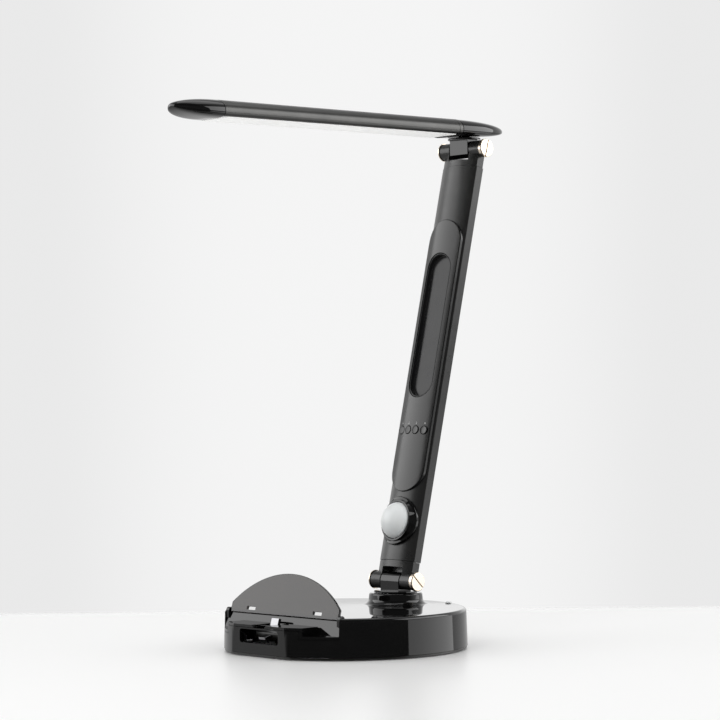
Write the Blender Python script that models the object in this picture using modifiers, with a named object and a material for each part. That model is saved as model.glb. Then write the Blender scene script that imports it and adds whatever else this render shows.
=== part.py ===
"""LED desk lamp with a device dock in its base: every piece as its own closed solid.

The frame is +Z up with the origin under the middle of the round base, and the front of the
lamp, with its dock, faces -Y. Lengths are in metres and angles in degrees.
"""

import math

import bmesh
import bpy
from mathutils import Matrix, Vector

# Clearances and counts
GAP = 0.0003
OVERRUN = 0.004
MERGE = 0.00001
FACE_OFFSET = 0.00001
ROUND_STEPS = 80
PIN_STEPS = 24
SMALL_STEPS = 12
ARC_STEPS = 4
CROWN_STEPS = 10

# Round base
BASE_RADIUS = 0.0910
BASE_DRAFT = 0.00074
BASE_TOP_RADIUS = BASE_RADIUS - BASE_DRAFT
BASE_TOP = 0.03015
BASE_WALL = 0.0024
BASE_RIM = 0.0025
FACET_INSET = 0.0048
FACET_DEPTH = BASE_RADIUS - FACET_INSET
PLATE_BOTTOM = 0.0008
PLATE_THICK = 0.0014
PLATE_INSET = 0.0006
PAD_MARGIN = 0.0160
PAD_RADIUS = BASE_RADIUS - PAD_MARGIN
PAD_HEIGHT = 0.0011
SCREW_MARGIN = 0.0110
SCREW_CIRCLE = BASE_RADIUS - SCREW_MARGIN
SCREW_POST_RADIUS = 0.0036
SCREW_HEAD_RADIUS = 0.0028
SCREW_RADIUS = 0.0016
SCREW_LENGTH = 0.0100
SCREW_RECESS = 0.0002
SCREW_ANGLES = (30.0, 150.0, 210.0, 330.0)
BALLAST_MARGIN = 0.0210
BALLAST_RADIUS = BASE_RADIUS - BALLAST_MARGIN
BALLAST_THICK = 0.0060
BALLAST_FRONT_ROOM = 0.0302
BALLAST_FRONT = BALLAST_FRONT_ROOM - FACET_DEPTH

# Sockets on the board behind the rear wall
BOARD_THICK = 0.0016
BASE_BOARD_HALF = 0.0300
BASE_BOARD_LENGTH = 0.0200
BASE_BOARD_MARGIN = 0.0110
BASE_BOARD_BACK = BASE_RADIUS - BASE_BOARD_MARGIN
BASE_BOARD_FRONT = BASE_BOARD_BACK - BASE_BOARD_LENGTH
SOCKET_X = 0.0180
SOCKET_MARGIN = 0.0038
SOCKET_BACK = BASE_RADIUS - SOCKET_MARGIN
INLET_HALF = 0.0050
INLET_LENGTH = 0.0120
INLET_HEIGHT = 0.0110
INLET_BORE = 0.0032
INLET_PIN = 0.0010
INLET_DEPTH = 0.0090
USB_HALF = 0.0071
USB_LENGTH = 0.0140
USB_HEIGHT = 0.0070
USB_WALL = 0.0008
USB_TONGUE = 0.0018
USB_TONGUE_HALF = 0.0055
LENS_X = 0.0290
LENS_MARGIN = 0.0110
LENS_Y = BASE_RADIUS - LENS_MARGIN
LENS_RADIUS = 0.0025
LENS_RISE = 0.0010
LENS_STEM_RADIUS = 0.0012
LENS_STEM_LENGTH = 0.0030

# Boss and swivel at the back of the base
BOSS_MARGIN = 0.0386
BOSS_Y = BASE_RADIUS - BOSS_MARGIN
BOSS_RADIUS = 0.0206
BOSS_RISE = 0.00855
BOSS_TOP = BASE_TOP + BOSS_RISE
BOSS_EDGE = 0.0014
FLARE_WIDTH = 0.00575
FLARE_HEIGHT = 0.0042
FLARE_SINK = 0.0002
TURN_RADIUS = 0.0165
TURN_THICK = 0.0010
NECK_HALF = 0.0067
SHAFT_RADIUS = 0.0050
NUT_RADIUS = 0.0095
NUT_THICK = 0.0032

# Dock in the front of the base
DOCK_HINGE_MARGIN = 0.0247
DOCK_HINGE_Y = DOCK_HINGE_MARGIN - FACET_DEPTH
DOCK_HINGE_DROP = 0.00075
DOCK_HINGE_Z = BASE_TOP - DOCK_HINGE_DROP
DOCK_LEAN = 17.0
DOCK_END_MARGIN = 0.0282
DOCK_END = BASE_RADIUS - DOCK_END_MARGIN
LEDGE_DROP = 0.0061
TRAY_TOP = DOCK_HINGE_Z - LEDGE_DROP
TRAY_HALF = 0.0405
TRAY_THICK = 0.0020
SIDE_FLOOR_DROP = 0.0060
SIDE_FLOOR_TOP = TRAY_TOP - SIDE_FLOOR_DROP
TRAY_WALL = 0.0016
TRAY_INSET = 0.0001
EAR_RADIUS = 0.0025
NOTCH_HALF = 0.0055
NOTCH_SPREAD = 0.0028
NOTCH_DEPTH = 0.0021
NOTCH_REACH = 0.0040
REST_THICK = 0.0022
REST_HEIGHT = 0.0304
REST_SHOULDER = 0.00643
REST_MARGIN = 0.0320
REST_HALF = BASE_RADIUS - REST_MARGIN
REST_ARCH = REST_HEIGHT - REST_SHOULDER
REST_RADIUS = (REST_HALF**2 + REST_ARCH**2) / (2 * REST_ARCH)
EAR_INNER = REST_HALF + GAP
SLOT_MARGIN = 0.02265
SLOT_X = REST_HALF - SLOT_MARGIN
SLOT_WIDTH = 0.0097
SLOT_HEIGHT = 0.0027
SLOT_SILL = 0.0013
STUB_RADIUS = 0.0009
STUB_LENGTH = 0.0022

# Revolving connector block in the dock, and the window in front of it
DRUM_AHEAD = 0.0105
DRUM_Y = DOCK_HINGE_Y - DRUM_AHEAD
DRUM_DROP = 0.0071
DRUM_Z = TRAY_TOP - DRUM_DROP
DRUM_RADIUS = 0.0046
DRUM_HALF = 0.0140
DRUM_PIN = 0.0015
DRUM_BORE = DRUM_PIN + GAP
LUG_THICK = 0.0025
LUG_HALF = 0.0040
PLUG_LENGTH = 0.0064
PLUG_TIP = DRUM_RADIUS + GAP + PLUG_LENGTH
PLUG_CORNER = 0.0004
PLUG_SIZES = ((0.0083, 0.0025), (0.0068, 0.0018), (0.0067, 0.0015))
PLUG_TURN = 120.0
DRUM_SLOT_HALF = 0.0070
SWEEP_ROOM = 0.0009
DRUM_SWEEP = PLUG_TIP + SWEEP_ROOM
WINDOW_MARGIN = 0.0045
WINDOW_HALF = DRUM_HALF + LUG_THICK + WINDOW_MARGIN
WINDOW_HEAD = 0.0013
WINDOW_TOP = TRAY_TOP - TRAY_THICK - WINDOW_HEAD
WINDOW_HEIGHT = 0.0100
WINDOW_BOTTOM = WINDOW_TOP - WINDOW_HEIGHT
WINDOW_CORNER = 0.0020

# Hinges, the same at both ends of the arm
KNUCKLE_RADIUS = 0.0066
KNUCKLE_HALF = 0.0097
WASHER_THICK = 0.0005
WASHER_INSET = 0.0004
WASHER_RADIUS = KNUCKLE_RADIUS - WASHER_INSET
FORK_THICK = 0.0105
FORK_INNER = KNUCKLE_HALF + 2 * GAP + WASHER_THICK
FORK_OUTER = FORK_INNER + FORK_THICK
BOLT_RADIUS = 0.0025
BOLT_HEAD_RADIUS = 0.0072
BOLT_HEAD_THICK = 0.0030
BOLT_HEAD_EDGE = 0.0007
BOLT_OVERHANG = 0.0003
BOLT_END = FORK_OUTER + BOLT_OVERHANG
BOLT_SLOT_WIDTH = 0.0012
BOLT_SLOT_DEPTH = 0.0008
SLEEVE_HEAD_THICK = 0.0010
SLEEVE_SLOT_DEPTH = 0.0004
SLEEVE_EDGE = 0.0004
LOWER_SLOT_TURN = -31.0
UPPER_SLOT_TURN = 88.0

# Arm: x across, y towards its back, z along it from the lower hinge
AXIS_RISE = 0.0089
LOWER_AXIS = (0.0, BOSS_Y, BOSS_TOP + AXIS_RISE)
ARM_LEAN = 13.61
ARM_LENGTH = 0.34385
ARM_HALF = 0.0186
ARM_CROWN = 0.0076
ARM_EDGE = 0.0020
ARM_BACK = 0.0053
ARM_WALL = 0.0018
SHELL_SETBACK = 0.0150
BRIDGE_THICK = 0.0049
BRIDGE_INSET = 0.0004
CHEEK_START = 0.0030
WEB_START = 0.0069
WEB_FRONT = 0.0026
TONGUE_INSET = 0.0066
TONGUE_HALF = ARM_HALF - TONGUE_INSET
TONGUE_FRONT = 0.0022
TONGUE_LENGTH = 0.0175
BACK_PLATE = 0.0018
ARM_SCREW_X = 0.0080
ARM_SCREW_INSET = 0.0090
ARM_SCREW_REACH = SHELL_SETBACK + ARM_SCREW_INSET
ARM_SCREW_LENGTH = 0.0042
ARM_SCREW_HEAD = 0.0022
ARM_SCREW_RADIUS = 0.0011

# Sensor at the foot of the arm
RING_INSET = 0.0011
RING_RADIUS = ARM_HALF - RING_INSET
RING_WIDTH = 0.0042
RING_BORE = RING_RADIUS - RING_WIDTH
RING_RISE = 0.0026
RING_LONG_SHARE = 1.075
COLLAR_WIDTH = 0.0016
COLLAR_DRAFT_SHARE = 0.25
COLLAR_RISE = 0.0030
COLLAR_TOP = ARM_CROWN + COLLAR_RISE
DOME_RADIUS = RING_BORE - GAP
DOME_HEIGHT = 0.0098
DOME_ROUND = (DOME_RADIUS**2 + DOME_HEIGHT**2) / (2 * DOME_HEIGHT)
DOME_WALL = 0.0012
SENSOR_SHELF = 0.0040
SENSOR_HOLE = DOME_RADIUS - SENSOR_SHELF
SENSOR_MARGIN = 0.0123
SENSOR_PLACE = SHELL_SETBACK + RING_RADIUS + SENSOR_MARGIN
SENSOR_CAN_RADIUS = 0.0046
SENSOR_CAN_RISE = 0.0036
SENSOR_CAN_TOP = ARM_CROWN + SENSOR_CAN_RISE
SENSOR_CAN_HEIGHT = 0.0047
SENSOR_CAN_FOOT = SENSOR_CAN_TOP - SENSOR_CAN_HEIGHT
SENSOR_STEM_RADIUS = 0.0030

# Panel on the arm, with its sunk display, its buttons and the board behind them
PANEL_SPACE = 0.0053
PANEL_START = SENSOR_PLACE + RING_RADIUS + PANEL_SPACE
PANEL_END_MARGIN = 0.05905
PANEL_END = ARM_LENGTH - PANEL_END_MARGIN
PANEL_LENGTH = PANEL_END - PANEL_START
PANEL_INSET = 0.0014
PANEL_HALF = ARM_HALF - PANEL_INSET
PANEL_RISE = 0.0011
PANEL_DROP = 0.0040
BUTTON_COUNT = 4
BUTTON_PLACE_SHARE = 0.2228
BUTTON_PLACE = PANEL_START + BUTTON_PLACE_SHARE * PANEL_LENGTH
BUTTON_MARGIN = 0.0020
BUTTON_SPACE = 0.0016
BUTTON_ROW = 2 * (PANEL_HALF - BUTTON_MARGIN)
BUTTON_RADIUS = (BUTTON_ROW - (BUTTON_COUNT - 1) * BUTTON_SPACE) / (2 * BUTTON_COUNT)
BUTTON_PITCH = 2 * BUTTON_RADIUS + BUTTON_SPACE
BUTTON_RISE = 0.0005
BOARD_FRONT = 0.0003
BUTTON_TRAVEL = 0.0005
SWITCH_HALF = 0.0022
SWITCH_HEIGHT = 0.0006
BUTTON_FOOT = BOARD_FRONT + SWITCH_HEIGHT + BUTTON_TRAVEL + 2 * GAP
DISPLAY_START_SHARE = 0.3416
DISPLAY_START = PANEL_START + DISPLAY_START_SHARE * PANEL_LENGTH
DISPLAY_END_SHARE = 0.8743
DISPLAY_END = PANEL_START + DISPLAY_END_SHARE * PANEL_LENGTH
DISPLAY_INSET = 0.0045
DISPLAY_HALF = PANEL_HALF - DISPLAY_INSET
DISPLAY_FRONT = 0.0036
DISPLAY_THICK = 0.0010
SLEEVE_WALL = 0.0009
MODULE_INSET = 0.0015
MODULE_HALF = DISPLAY_HALF - MODULE_INSET
MODULE_END = 0.0090
MODULE_SPACE = 0.0005
MODULE_FRONT = DISPLAY_FRONT - DISPLAY_THICK - MODULE_SPACE
BOARD_INSET = 0.0056
BOARD_HALF = ARM_HALF - BOARD_INSET
BOARD_START_ROOM = 0.0035
BOARD_START = SHELL_SETBACK + TONGUE_LENGTH + BOARD_START_ROOM
BOARD_END_ROOM = 0.03635
BOARD_END = ARM_LENGTH - SHELL_SETBACK - TONGUE_LENGTH - BOARD_END_ROOM
POST_RADIUS = 0.0030
POST_START = 0.0420
POST_END = 0.0090
POST_PLACES = (BOARD_START + POST_START, BOARD_END - POST_END)

# Head: x across, y towards its back, z up, from the upper hinge
HEAD_PITCH = 1.04
HEAD_UNDERSIDE = 0.00967
HEAD_THICK = 0.0138
HEAD_BELT = 0.0052
HEAD_HALF = 0.0175
HEAD_WALL = 0.0016
HEAD_REAR_SEAM = -0.0183
HEAD_LENGTH = 0.2420
HEAD_FRONT_SEAM = HEAD_REAR_SEAM - HEAD_LENGTH
FRONT_CAP_LENGTH = 0.0358
HEAD_FRONT = HEAD_FRONT_SEAM - FRONT_CAP_LENGTH
REAR_CAP_LENGTH = 0.0592
HEAD_REAR = HEAD_REAR_SEAM + REAR_CAP_LENGTH
FRONT_TIP_RISE = 0.0078
REAR_TIP_RISE = 0.0070
CAP_WALL = 0.0020
CAP_TONGUE_INSET = 0.0060
CAP_TONGUE_HALF = HEAD_HALF - CAP_TONGUE_INSET
CAP_TONGUE_RISE = 0.00273
CAP_TONGUE_BOTTOM = HEAD_UNDERSIDE + CAP_TONGUE_RISE
CAP_TONGUE_HEIGHT = 0.0054
CAP_TONGUE_TOP = CAP_TONGUE_BOTTOM + CAP_TONGUE_HEIGHT
CAP_TONGUE_LENGTH = 0.0110
HEAD_DISC_RADIUS = 0.0130
HEAD_DISC_THICK = 0.0015
HEAD_NECK_BACK = 0.0050
HEAD_NECK_DROP = 0.0040
HEAD_SHAFT_RADIUS = 0.0045
HEAD_NUT_RADIUS = 0.0075
HEAD_NUT_THICK = 0.0035
LIGHT_INSET = 0.0030
LIGHT_HALF = HEAD_HALF - LIGHT_INSET
LIGHT_FRONT_MARGIN = 0.0046
LIGHT_FRONT = HEAD_FRONT_SEAM + LIGHT_FRONT_MARGIN
LIGHT_REAR_MARGIN = 0.0050
LIGHT_REAR = HEAD_REAR_SEAM - LIGHT_REAR_MARGIN
LIGHT_THICK = 0.0015
LIGHT_SINK = 0.0003
LED_BOARD_INSET = 0.0035
LED_BOARD_HALF = LIGHT_HALF - LED_BOARD_INSET
LED_BOARD_RISE = 0.00553
LED_BOARD_BOTTOM = HEAD_UNDERSIDE + LED_BOARD_RISE
LED_BOARD_THICK = 0.0012
LED_BOARD_MARGIN = 0.0020
LED_SIZE = 0.0030
LED_HEIGHT = 0.0007
LED_COUNT = 12
RIB_HALF = 0.0012

# Shape shares of the head's rounded section and of its pointed caps
TOP_ROUND_SHARES = (0.80, 1.0)
BOTTOM_ROUND_SHARES = (0.45, 0.55)
CAP_STEP_SHARES = (0.0, 0.22, 0.44, 0.64, 0.80, 0.92, 0.98)
CAP_POWER_SHARE = 2.2
SECTION_STEPS = 24

BLACK_GLOSS = ((0.010, 0.010, 0.011, 1.0), 0.12, 0.0)
BLACK_SATIN = ((0.022, 0.022, 0.024, 1.0), 0.38, 0.0)
BLACK_RUBBER = ((0.030, 0.030, 0.030, 1.0), 0.85, 0.0)
SMOKE = ((0.070, 0.045, 0.038, 1.0), 0.10, 0.0)
PALE_GOLD = ((0.82, 0.74, 0.62, 1.0), 0.22, 1.0)
STEEL = ((0.55, 0.55, 0.56, 1.0), 0.35, 1.0)
MILK = ((0.86, 0.86, 0.84, 1.0), 0.35, 0.0)
GLASS_DARK = ((0.018, 0.019, 0.021, 1.0), 0.30, 0.0)
BOARD_GREEN = ((0.03, 0.16, 0.07, 1.0), 0.50, 0.0)
BOARD_WHITE = ((0.80, 0.80, 0.78, 1.0), 0.50, 0.0)

COVER_BOTTOM = PLATE_BOTTOM + PLATE_THICK + GAP


def clear_scene():
    """Removes every object that the file opened with."""
    for obj in list(bpy.data.objects):
        bpy.data.objects.remove(obj, do_unlink=True)


def new_collection(name, hidden):
    """A collection in the scene; a hidden one holds cutters and joined blanks."""
    collection = bpy.data.collections.new(name)
    collection.hide_render = hidden
    bpy.context.scene.collection.children.link(collection)
    return collection


def frame_at(name, location, turn_x, parent=None):
    """An empty on a joint's axis, which the pieces of one body hang on."""
    empty = bpy.data.objects.new(name, None)
    empty.location = location
    empty.rotation_euler = (math.radians(turn_x), 0.0, 0.0)
    empty.parent = parent
    PARTS.objects.link(empty)
    return empty


def material(name, finish):
    """A Principled material from a colour, a roughness and a metallic value."""
    found = bpy.data.materials.get(name)
    if found:
        return found
    made = bpy.data.materials.new(name)
    made.use_nodes = True
    shader = made.node_tree.nodes["Principled BSDF"]
    shader.inputs["Base Color"].default_value = finish[0]
    shader.inputs["Roughness"].default_value = finish[1]
    shader.inputs["Metallic"].default_value = finish[2]
    made.diffuse_color = finish[0]
    return made


def add_object(name, mesh, frame):
    """Links a mesh as an object that hangs on a frame."""
    obj = bpy.data.objects.new(name, mesh)
    obj.parent = frame
    PARTS.objects.link(obj)
    return obj


def finish(obj, name, look):
    """Names a finished piece and gives it its material."""
    obj.name = name
    obj.data.name = name
    obj.data.materials.clear()
    obj.data.materials.append(material(name, look))
    return obj


def helper(obj):
    """Moves a cutter or a blank that is joined on out of the parts."""
    PARTS.objects.unlink(obj)
    CUTTERS.objects.link(obj)
    obj.hide_render = True
    obj.display_type = "WIRE"
    return obj


def combine(obj, other, operation):
    """Adds one exact Boolean to a piece."""
    step = obj.modifiers.new(operation.lower(), "BOOLEAN")
    step.operation = operation
    step.solver = "EXACT"
    step.object = helper(other)
    return obj


def cut(obj, *others):
    """Takes the other solids away from a piece."""
    for other in others:
        combine(obj, other, "DIFFERENCE")
    return obj


def join(obj, *others):
    """Fuses the other solids onto a piece."""
    for other in others:
        combine(obj, other, "UNION")
    return obj


def keep_within(obj, other):
    """Keeps only what lies inside the other solid."""
    return combine(obj, other, "INTERSECT")


def block(name, frame, low, high):
    """A box between two corners."""
    mesh = bpy.data.meshes.new(name)
    shape = bmesh.new()
    bmesh.ops.create_cube(shape, size=1.0)
    low = Vector(low)
    high = Vector(high)
    for corner in shape.verts:
        corner.co = (low + high) / 2 + corner.co * (high - low)
    shape.to_mesh(mesh)
    shape.free()
    return add_object(name, mesh, frame)


AXIS_TURNS = {
    "Z": Matrix.Identity(4),
    "X": Matrix.Rotation(math.radians(90.0), 4, "Y"),
    "Y": Matrix.Rotation(math.radians(-90.0), 4, "X"),
    "FRONT": Matrix.Rotation(math.radians(90.0), 4, "X"),
}


def rod(name, frame, axis, centre, radius, start, end, steps=PIN_STEPS, end_radius=None):
    """A cylinder, or a cone, along an axis, from start to end beyond its centre point."""
    mesh = bpy.data.meshes.new(name)
    shape = bmesh.new()
    last = radius if end_radius is None else end_radius
    bmesh.ops.create_cone(
        shape, cap_ends=True, segments=steps, radius1=radius, radius2=last, depth=end - start
    )
    place = Matrix.Translation(centre) @ AXIS_TURNS[axis]
    place = place @ Matrix.Translation((0.0, 0.0, (start + end) / 2))
    bmesh.ops.transform(shape, matrix=place, verts=shape.verts)
    shape.to_mesh(mesh)
    shape.free()
    return add_object(name, mesh, frame)


def settled(obj):
    """The evaluated shape of an object, welded, as a plain mesh under the same name."""
    bpy.context.view_layer.update()
    graph = bpy.context.evaluated_depsgraph_get()
    mesh = bpy.data.meshes.new_from_object(obj.evaluated_get(graph))
    shape = bmesh.new()
    shape.from_mesh(mesh)
    bmesh.ops.remove_doubles(shape, verts=shape.verts, dist=MERGE)
    bmesh.ops.recalc_face_normals(shape, faces=shape.faces)
    shape.to_mesh(mesh)
    shape.free()
    return mesh


def replace_with_mesh(obj, mesh, frame, place):
    """Puts a settled mesh, moved to its place, where its guide object was."""
    name = obj.name
    bpy.data.objects.remove(obj, do_unlink=True)
    mesh.transform(place)
    return add_object(name, mesh, frame)


def turned(
    name, frame, profile, axis="Z", centre=(0.0, 0.0, 0.0), steps=ROUND_STEPS, ring=False, long_share=1.0
):
    """A profile of (radius, height) points, outer side downwards, swept round by a Screw.

    A long share above one makes it an oval that is longer along the frame's third axis.
    """
    mesh = bpy.data.meshes.new(name)
    points = [(radius, 0.0, height) for radius, height in profile]
    edges = [(i, i + 1) for i in range(len(points) - 1)]
    if ring:
        edges.append((len(points) - 1, 0))
    mesh.from_pydata(points, edges, [])
    guide = add_object(name, mesh, None)
    screw = guide.modifiers.new("turn", "SCREW")
    screw.axis = "Z"
    screw.angle = math.radians(360.0)
    screw.steps = steps
    screw.render_steps = steps
    screw.use_merge_vertices = True
    screw.merge_threshold = MERGE
    solid = settled(guide)
    place = Matrix.Translation(centre) @ Matrix.Diagonal((1.0, 1.0, long_share, 1.0))
    return replace_with_mesh(guide, solid, frame, place @ AXIS_TURNS[axis])


OUTLINE_TURNS = {
    "Z": Matrix.Identity(4),
    "X": Matrix(((0, 0, 1, 0), (1, 0, 0, 0), (0, 1, 0, 0), (0, 0, 0, 1))),
    "Y": Matrix(((1, 0, 0, 0), (0, 0, -1, 0), (0, 1, 0, 0), (0, 0, 0, 1))),
}


def prism(name, frame, outline, axis, start, end):
    """A flat outline, a filled 2D curve, given its thickness along an axis.

    The outline is in (y, z) for X, in (x, z) for Y and in (x, y) for Z.
    """
    curve = bpy.data.curves.new(name, "CURVE")
    curve.dimensions = "2D"
    curve.fill_mode = "BOTH"
    curve.extrude = (end - start) / 2
    spline = curve.splines.new("POLY")
    spline.points.add(len(outline) - 1)
    for point, (across, up) in zip(spline.points, outline):
        point.co = (across, up, 0.0, 1.0)
    spline.use_cyclic_u = True
    guide = add_object(name, curve, None)
    solid = settled(guide)
    middle = (start + end) / 2
    if axis == "Y":
        middle = -middle
    return replace_with_mesh(
        guide, solid, frame, OUTLINE_TURNS[axis] @ Matrix.Translation((0.0, 0.0, middle))
    )


def loft(name, frame, rings, tip):
    """A closed skin over rings of equal count, flat at the first and pointed at the tip."""
    mesh = bpy.data.meshes.new(name)
    shape = bmesh.new()
    rows = [[shape.verts.new(point) for point in ring] for ring in rings]
    count = len(rows[0])
    shape.faces.new(rows[0])
    for row, following in zip(rows, rows[1:]):
        for i in range(count):
            j = (i + 1) % count
            shape.faces.new((row[i], row[j], following[j], following[i]))
    end = shape.verts.new(tip)
    for i in range(count):
        shape.faces.new((rows[-1][i], rows[-1][(i + 1) % count], end))
    bmesh.ops.recalc_face_normals(shape, faces=shape.faces)
    shape.to_mesh(mesh)
    shape.free()
    return add_object(name, mesh, frame)


def arc(centre, radius, first, last, steps=ARC_STEPS):
    """Points on a circle from one angle to another."""
    found = []
    for i in range(steps + 1):
        angle = math.radians(first + (last - first) * i / steps)
        found.append((centre[0] + radius * math.cos(angle), centre[1] + radius * math.sin(angle)))
    return found


def rounded_box(half, low, high, corner):
    """A rectangle outline, symmetric across, with round corners."""
    return (
        arc((half - corner, low + corner), corner, -90.0, 0.0)
        + arc((half - corner, high - corner), corner, 0.0, 90.0)
        + arc((corner - half, high - corner), corner, 90.0, 180.0)
        + arc((corner - half, low + corner), corner, 180.0, 270.0)
    )


def stadium(half, start, end):
    """A slot outline with two half-round ends, along the second coordinate."""
    return arc((0.0, end - half), half, 0.0, 180.0, 2 * ARC_STEPS) + arc(
        (0.0, start + half), half, 180.0, 360.0, 2 * ARC_STEPS
    )


def on_circle(radius, angle):
    """The point at an angle on a circle round the origin."""
    return (radius * math.cos(math.radians(angle)), radius * math.sin(math.radians(angle)))


def csk_screw(name, frame, axis, centre, head, shank, length, recess):
    """A flat countersunk screw whose head lies just under the face at its centre point."""
    profile = [
        (0.0, -recess),
        (head, -recess),
        (shank, -recess - (head - shank)),
        (shank, -length),
        (0.0, -length),
    ]
    return turned(name, frame, profile, axis, centre, SMALL_STEPS)


def csk_hole(name, frame, axis, centre, head, shank, length):
    """The countersunk hole that takes such a screw with a running gap."""
    wide = head + GAP
    bore = shank + GAP
    profile = [
        (0.0, OVERRUN),
        (wide, OVERRUN),
        (wide, 0.0),
        (bore, bore - wide),
        (bore, -length - GAP),
        (0.0, -length - GAP),
    ]
    return turned(name, frame, profile, axis, centre, SMALL_STEPS)


def puck_profile(top_radius, bottom_radius, top, bottom, rim):
    """A solid disc with a rounded top rim, as a turned profile."""
    edge = arc((top_radius - rim, top - rim), rim, 90.0, 0.0)
    return [(0.0, top)] + edge + [(bottom_radius, bottom), (0.0, bottom)]


def front_cut(name, frame, depth):
    """Everything in front of a flat that stands across the front of the base."""
    far = BASE_RADIUS + OVERRUN
    return block(name, frame, (-far, -far, -OVERRUN), (far, -depth, BOSS_TOP + OVERRUN))


def dock_reach(offset):
    """Where the leaning wall's plane lies at a height, moved back by an offset."""
    slope = math.tan(math.radians(DOCK_LEAN))
    back = DOCK_HINGE_Y + offset / math.cos(math.radians(DOCK_LEAN))
    return lambda height: back + (height - DOCK_HINGE_Z) * slope


def dock_opening():
    """The space in front of the leaning wall, between the dock's ends, with its middle step."""
    reach = dock_reach(TRAY_WALL + GAP)
    far = BASE_RADIUS + OVERRUN
    over = BASE_TOP + OVERRUN
    floor = SIDE_FLOOR_TOP - TRAY_THICK - GAP
    outline = [(-far, floor), (reach(floor), floor), (reach(over), over), (-far, over)]
    opening = prism("dock_opening", BASE, outline, "X", -DOCK_END, DOCK_END)
    half = TRAY_HALF - TRAY_THICK - GAP
    step_top = TRAY_TOP - TRAY_THICK - GAP
    step = block("dock_step", BASE, (-half, -far - OVERRUN, 0.0), (half, 0.0, step_top))
    return cut(opening, step)


def build_cover():
    """The glossy round shell with the boss of the swivel and the opening of the dock."""
    outer = turned(
        "cover",
        BASE,
        puck_profile(BASE_TOP_RADIUS, BASE_RADIUS, BASE_TOP, COVER_BOTTOM, BASE_RIM),
    )
    cut(outer, front_cut("cover_front", BASE, FACET_DEPTH))
    boss_edge = arc((BOSS_RADIUS - BOSS_EDGE, BOSS_TOP - BOSS_EDGE), BOSS_EDGE, 90.0, 0.0, 3)
    flare = []
    for i in range(ARC_STEPS + 1):
        angle = math.radians(90.0 * i / ARC_STEPS)
        radius = BOSS_RADIUS + FLARE_WIDTH * (1 - math.cos(angle))
        height = BASE_TOP - FLARE_SINK + FLARE_HEIGHT * (1 - math.sin(angle))
        flare.append((radius, height))
    foot = BASE_TOP - BASE_WALL / 2
    bore = SHAFT_RADIUS + GAP
    boss = [(bore, BOSS_TOP)] + boss_edge + flare + [(flare[-1][0], foot), (bore, foot)]
    middle = (0.0, BOSS_Y, 0.0)
    join(outer, turned("boss", BASE, boss, "Z", middle, 2 * PIN_STEPS, ring=True))
    inner = turned(
        "cover_inside",
        BASE,
        [
            (0.0, BASE_TOP - BASE_WALL),
            (BASE_TOP_RADIUS - BASE_WALL, BASE_TOP - BASE_WALL),
            (BASE_RADIUS - BASE_WALL, COVER_BOTTOM - OVERRUN),
            (0.0, COVER_BOTTOM - OVERRUN),
        ],
    )
    cut(inner, front_cut("cover_inside_front", BASE, FACET_DEPTH - BASE_WALL))
    for place in SCREW_ANGLES:
        x, y = on_circle(SCREW_CIRCLE, place)
        cut(
            inner,
            rod(
                "post",
                BASE,
                "Z",
                (x, y, 0.0),
                SCREW_POST_RADIUS,
                COVER_BOTTOM - 2 * OVERRUN,
                BASE_TOP,
                SMALL_STEPS,
            ),
        )
    cut(outer, inner)
    room_low = BASE_TOP - BASE_WALL - OVERRUN
    room_top = BOSS_TOP - BASE_WALL
    cut(outer, rod("boss_room", BASE, "Z", middle, BOSS_RADIUS - BASE_WALL, room_low, room_top))
    cut(outer, dock_opening())
    ear_room = (0.0, DOCK_HINGE_Y, DOCK_HINGE_Z)
    for side in (-1, 1):
        edges = sorted((side * (EAR_INNER - GAP), side * (DOCK_END - GAP / 2)))
        cut(outer, rod("ear_room", BASE, "X", ear_room, EAR_RADIUS + GAP, edges[0], edges[1], SMALL_STEPS))
    window = rounded_box(WINDOW_HALF, WINDOW_BOTTOM, WINDOW_TOP, WINDOW_CORNER)
    window_back = BASE_WALL + OVERRUN - FACET_DEPTH
    cut(outer, prism("window", BASE, window, "Y", -FACET_DEPTH - OVERRUN, window_back))
    far_back = BASE_RADIUS + OVERRUN
    inlet_low = socket_floor() - GAP
    cut(
        outer,
        block(
            "inlet_hole",
            BASE,
            (-SOCKET_X - INLET_HALF - GAP, BASE_BOARD_BACK, inlet_low),
            (-SOCKET_X + INLET_HALF + GAP, far_back, inlet_low + INLET_HEIGHT + 2 * GAP),
        ),
        block(
            "usb_hole",
            BASE,
            (SOCKET_X - USB_HALF - GAP, BASE_BOARD_BACK, inlet_low),
            (SOCKET_X + USB_HALF + GAP, far_back, inlet_low + USB_HEIGHT + 2 * GAP),
        ),
        rod(
            "lens_hole",
            BASE,
            "Z",
            (LENS_X, LENS_Y, 0.0),
            LENS_STEM_RADIUS + GAP,
            BASE_TOP - BASE_WALL - OVERRUN,
            BASE_TOP + OVERRUN,
            SMALL_STEPS,
        ),
    )
    for place in SCREW_ANGLES:
        x, y = on_circle(SCREW_CIRCLE, place)
        cut(
            outer,
            rod(
                "post_hole",
                BASE,
                "Z",
                (x, y, 0.0),
                SCREW_RADIUS + GAP,
                COVER_BOTTOM - OVERRUN,
                PLATE_BOTTOM + SCREW_LENGTH + GAP,
                SMALL_STEPS,
            ),
        )
    finish(outer, "base_cover", BLACK_GLOSS)


def socket_floor():
    """The height on which the two sockets stand: the top of the base circuit board."""
    return ballast_bottom() + BALLAST_THICK + GAP + BOARD_THICK + GAP


def ballast_bottom():
    """The underside of the ballast, a gap above the base plate."""
    return PLATE_BOTTOM + PLATE_THICK + GAP


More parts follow.
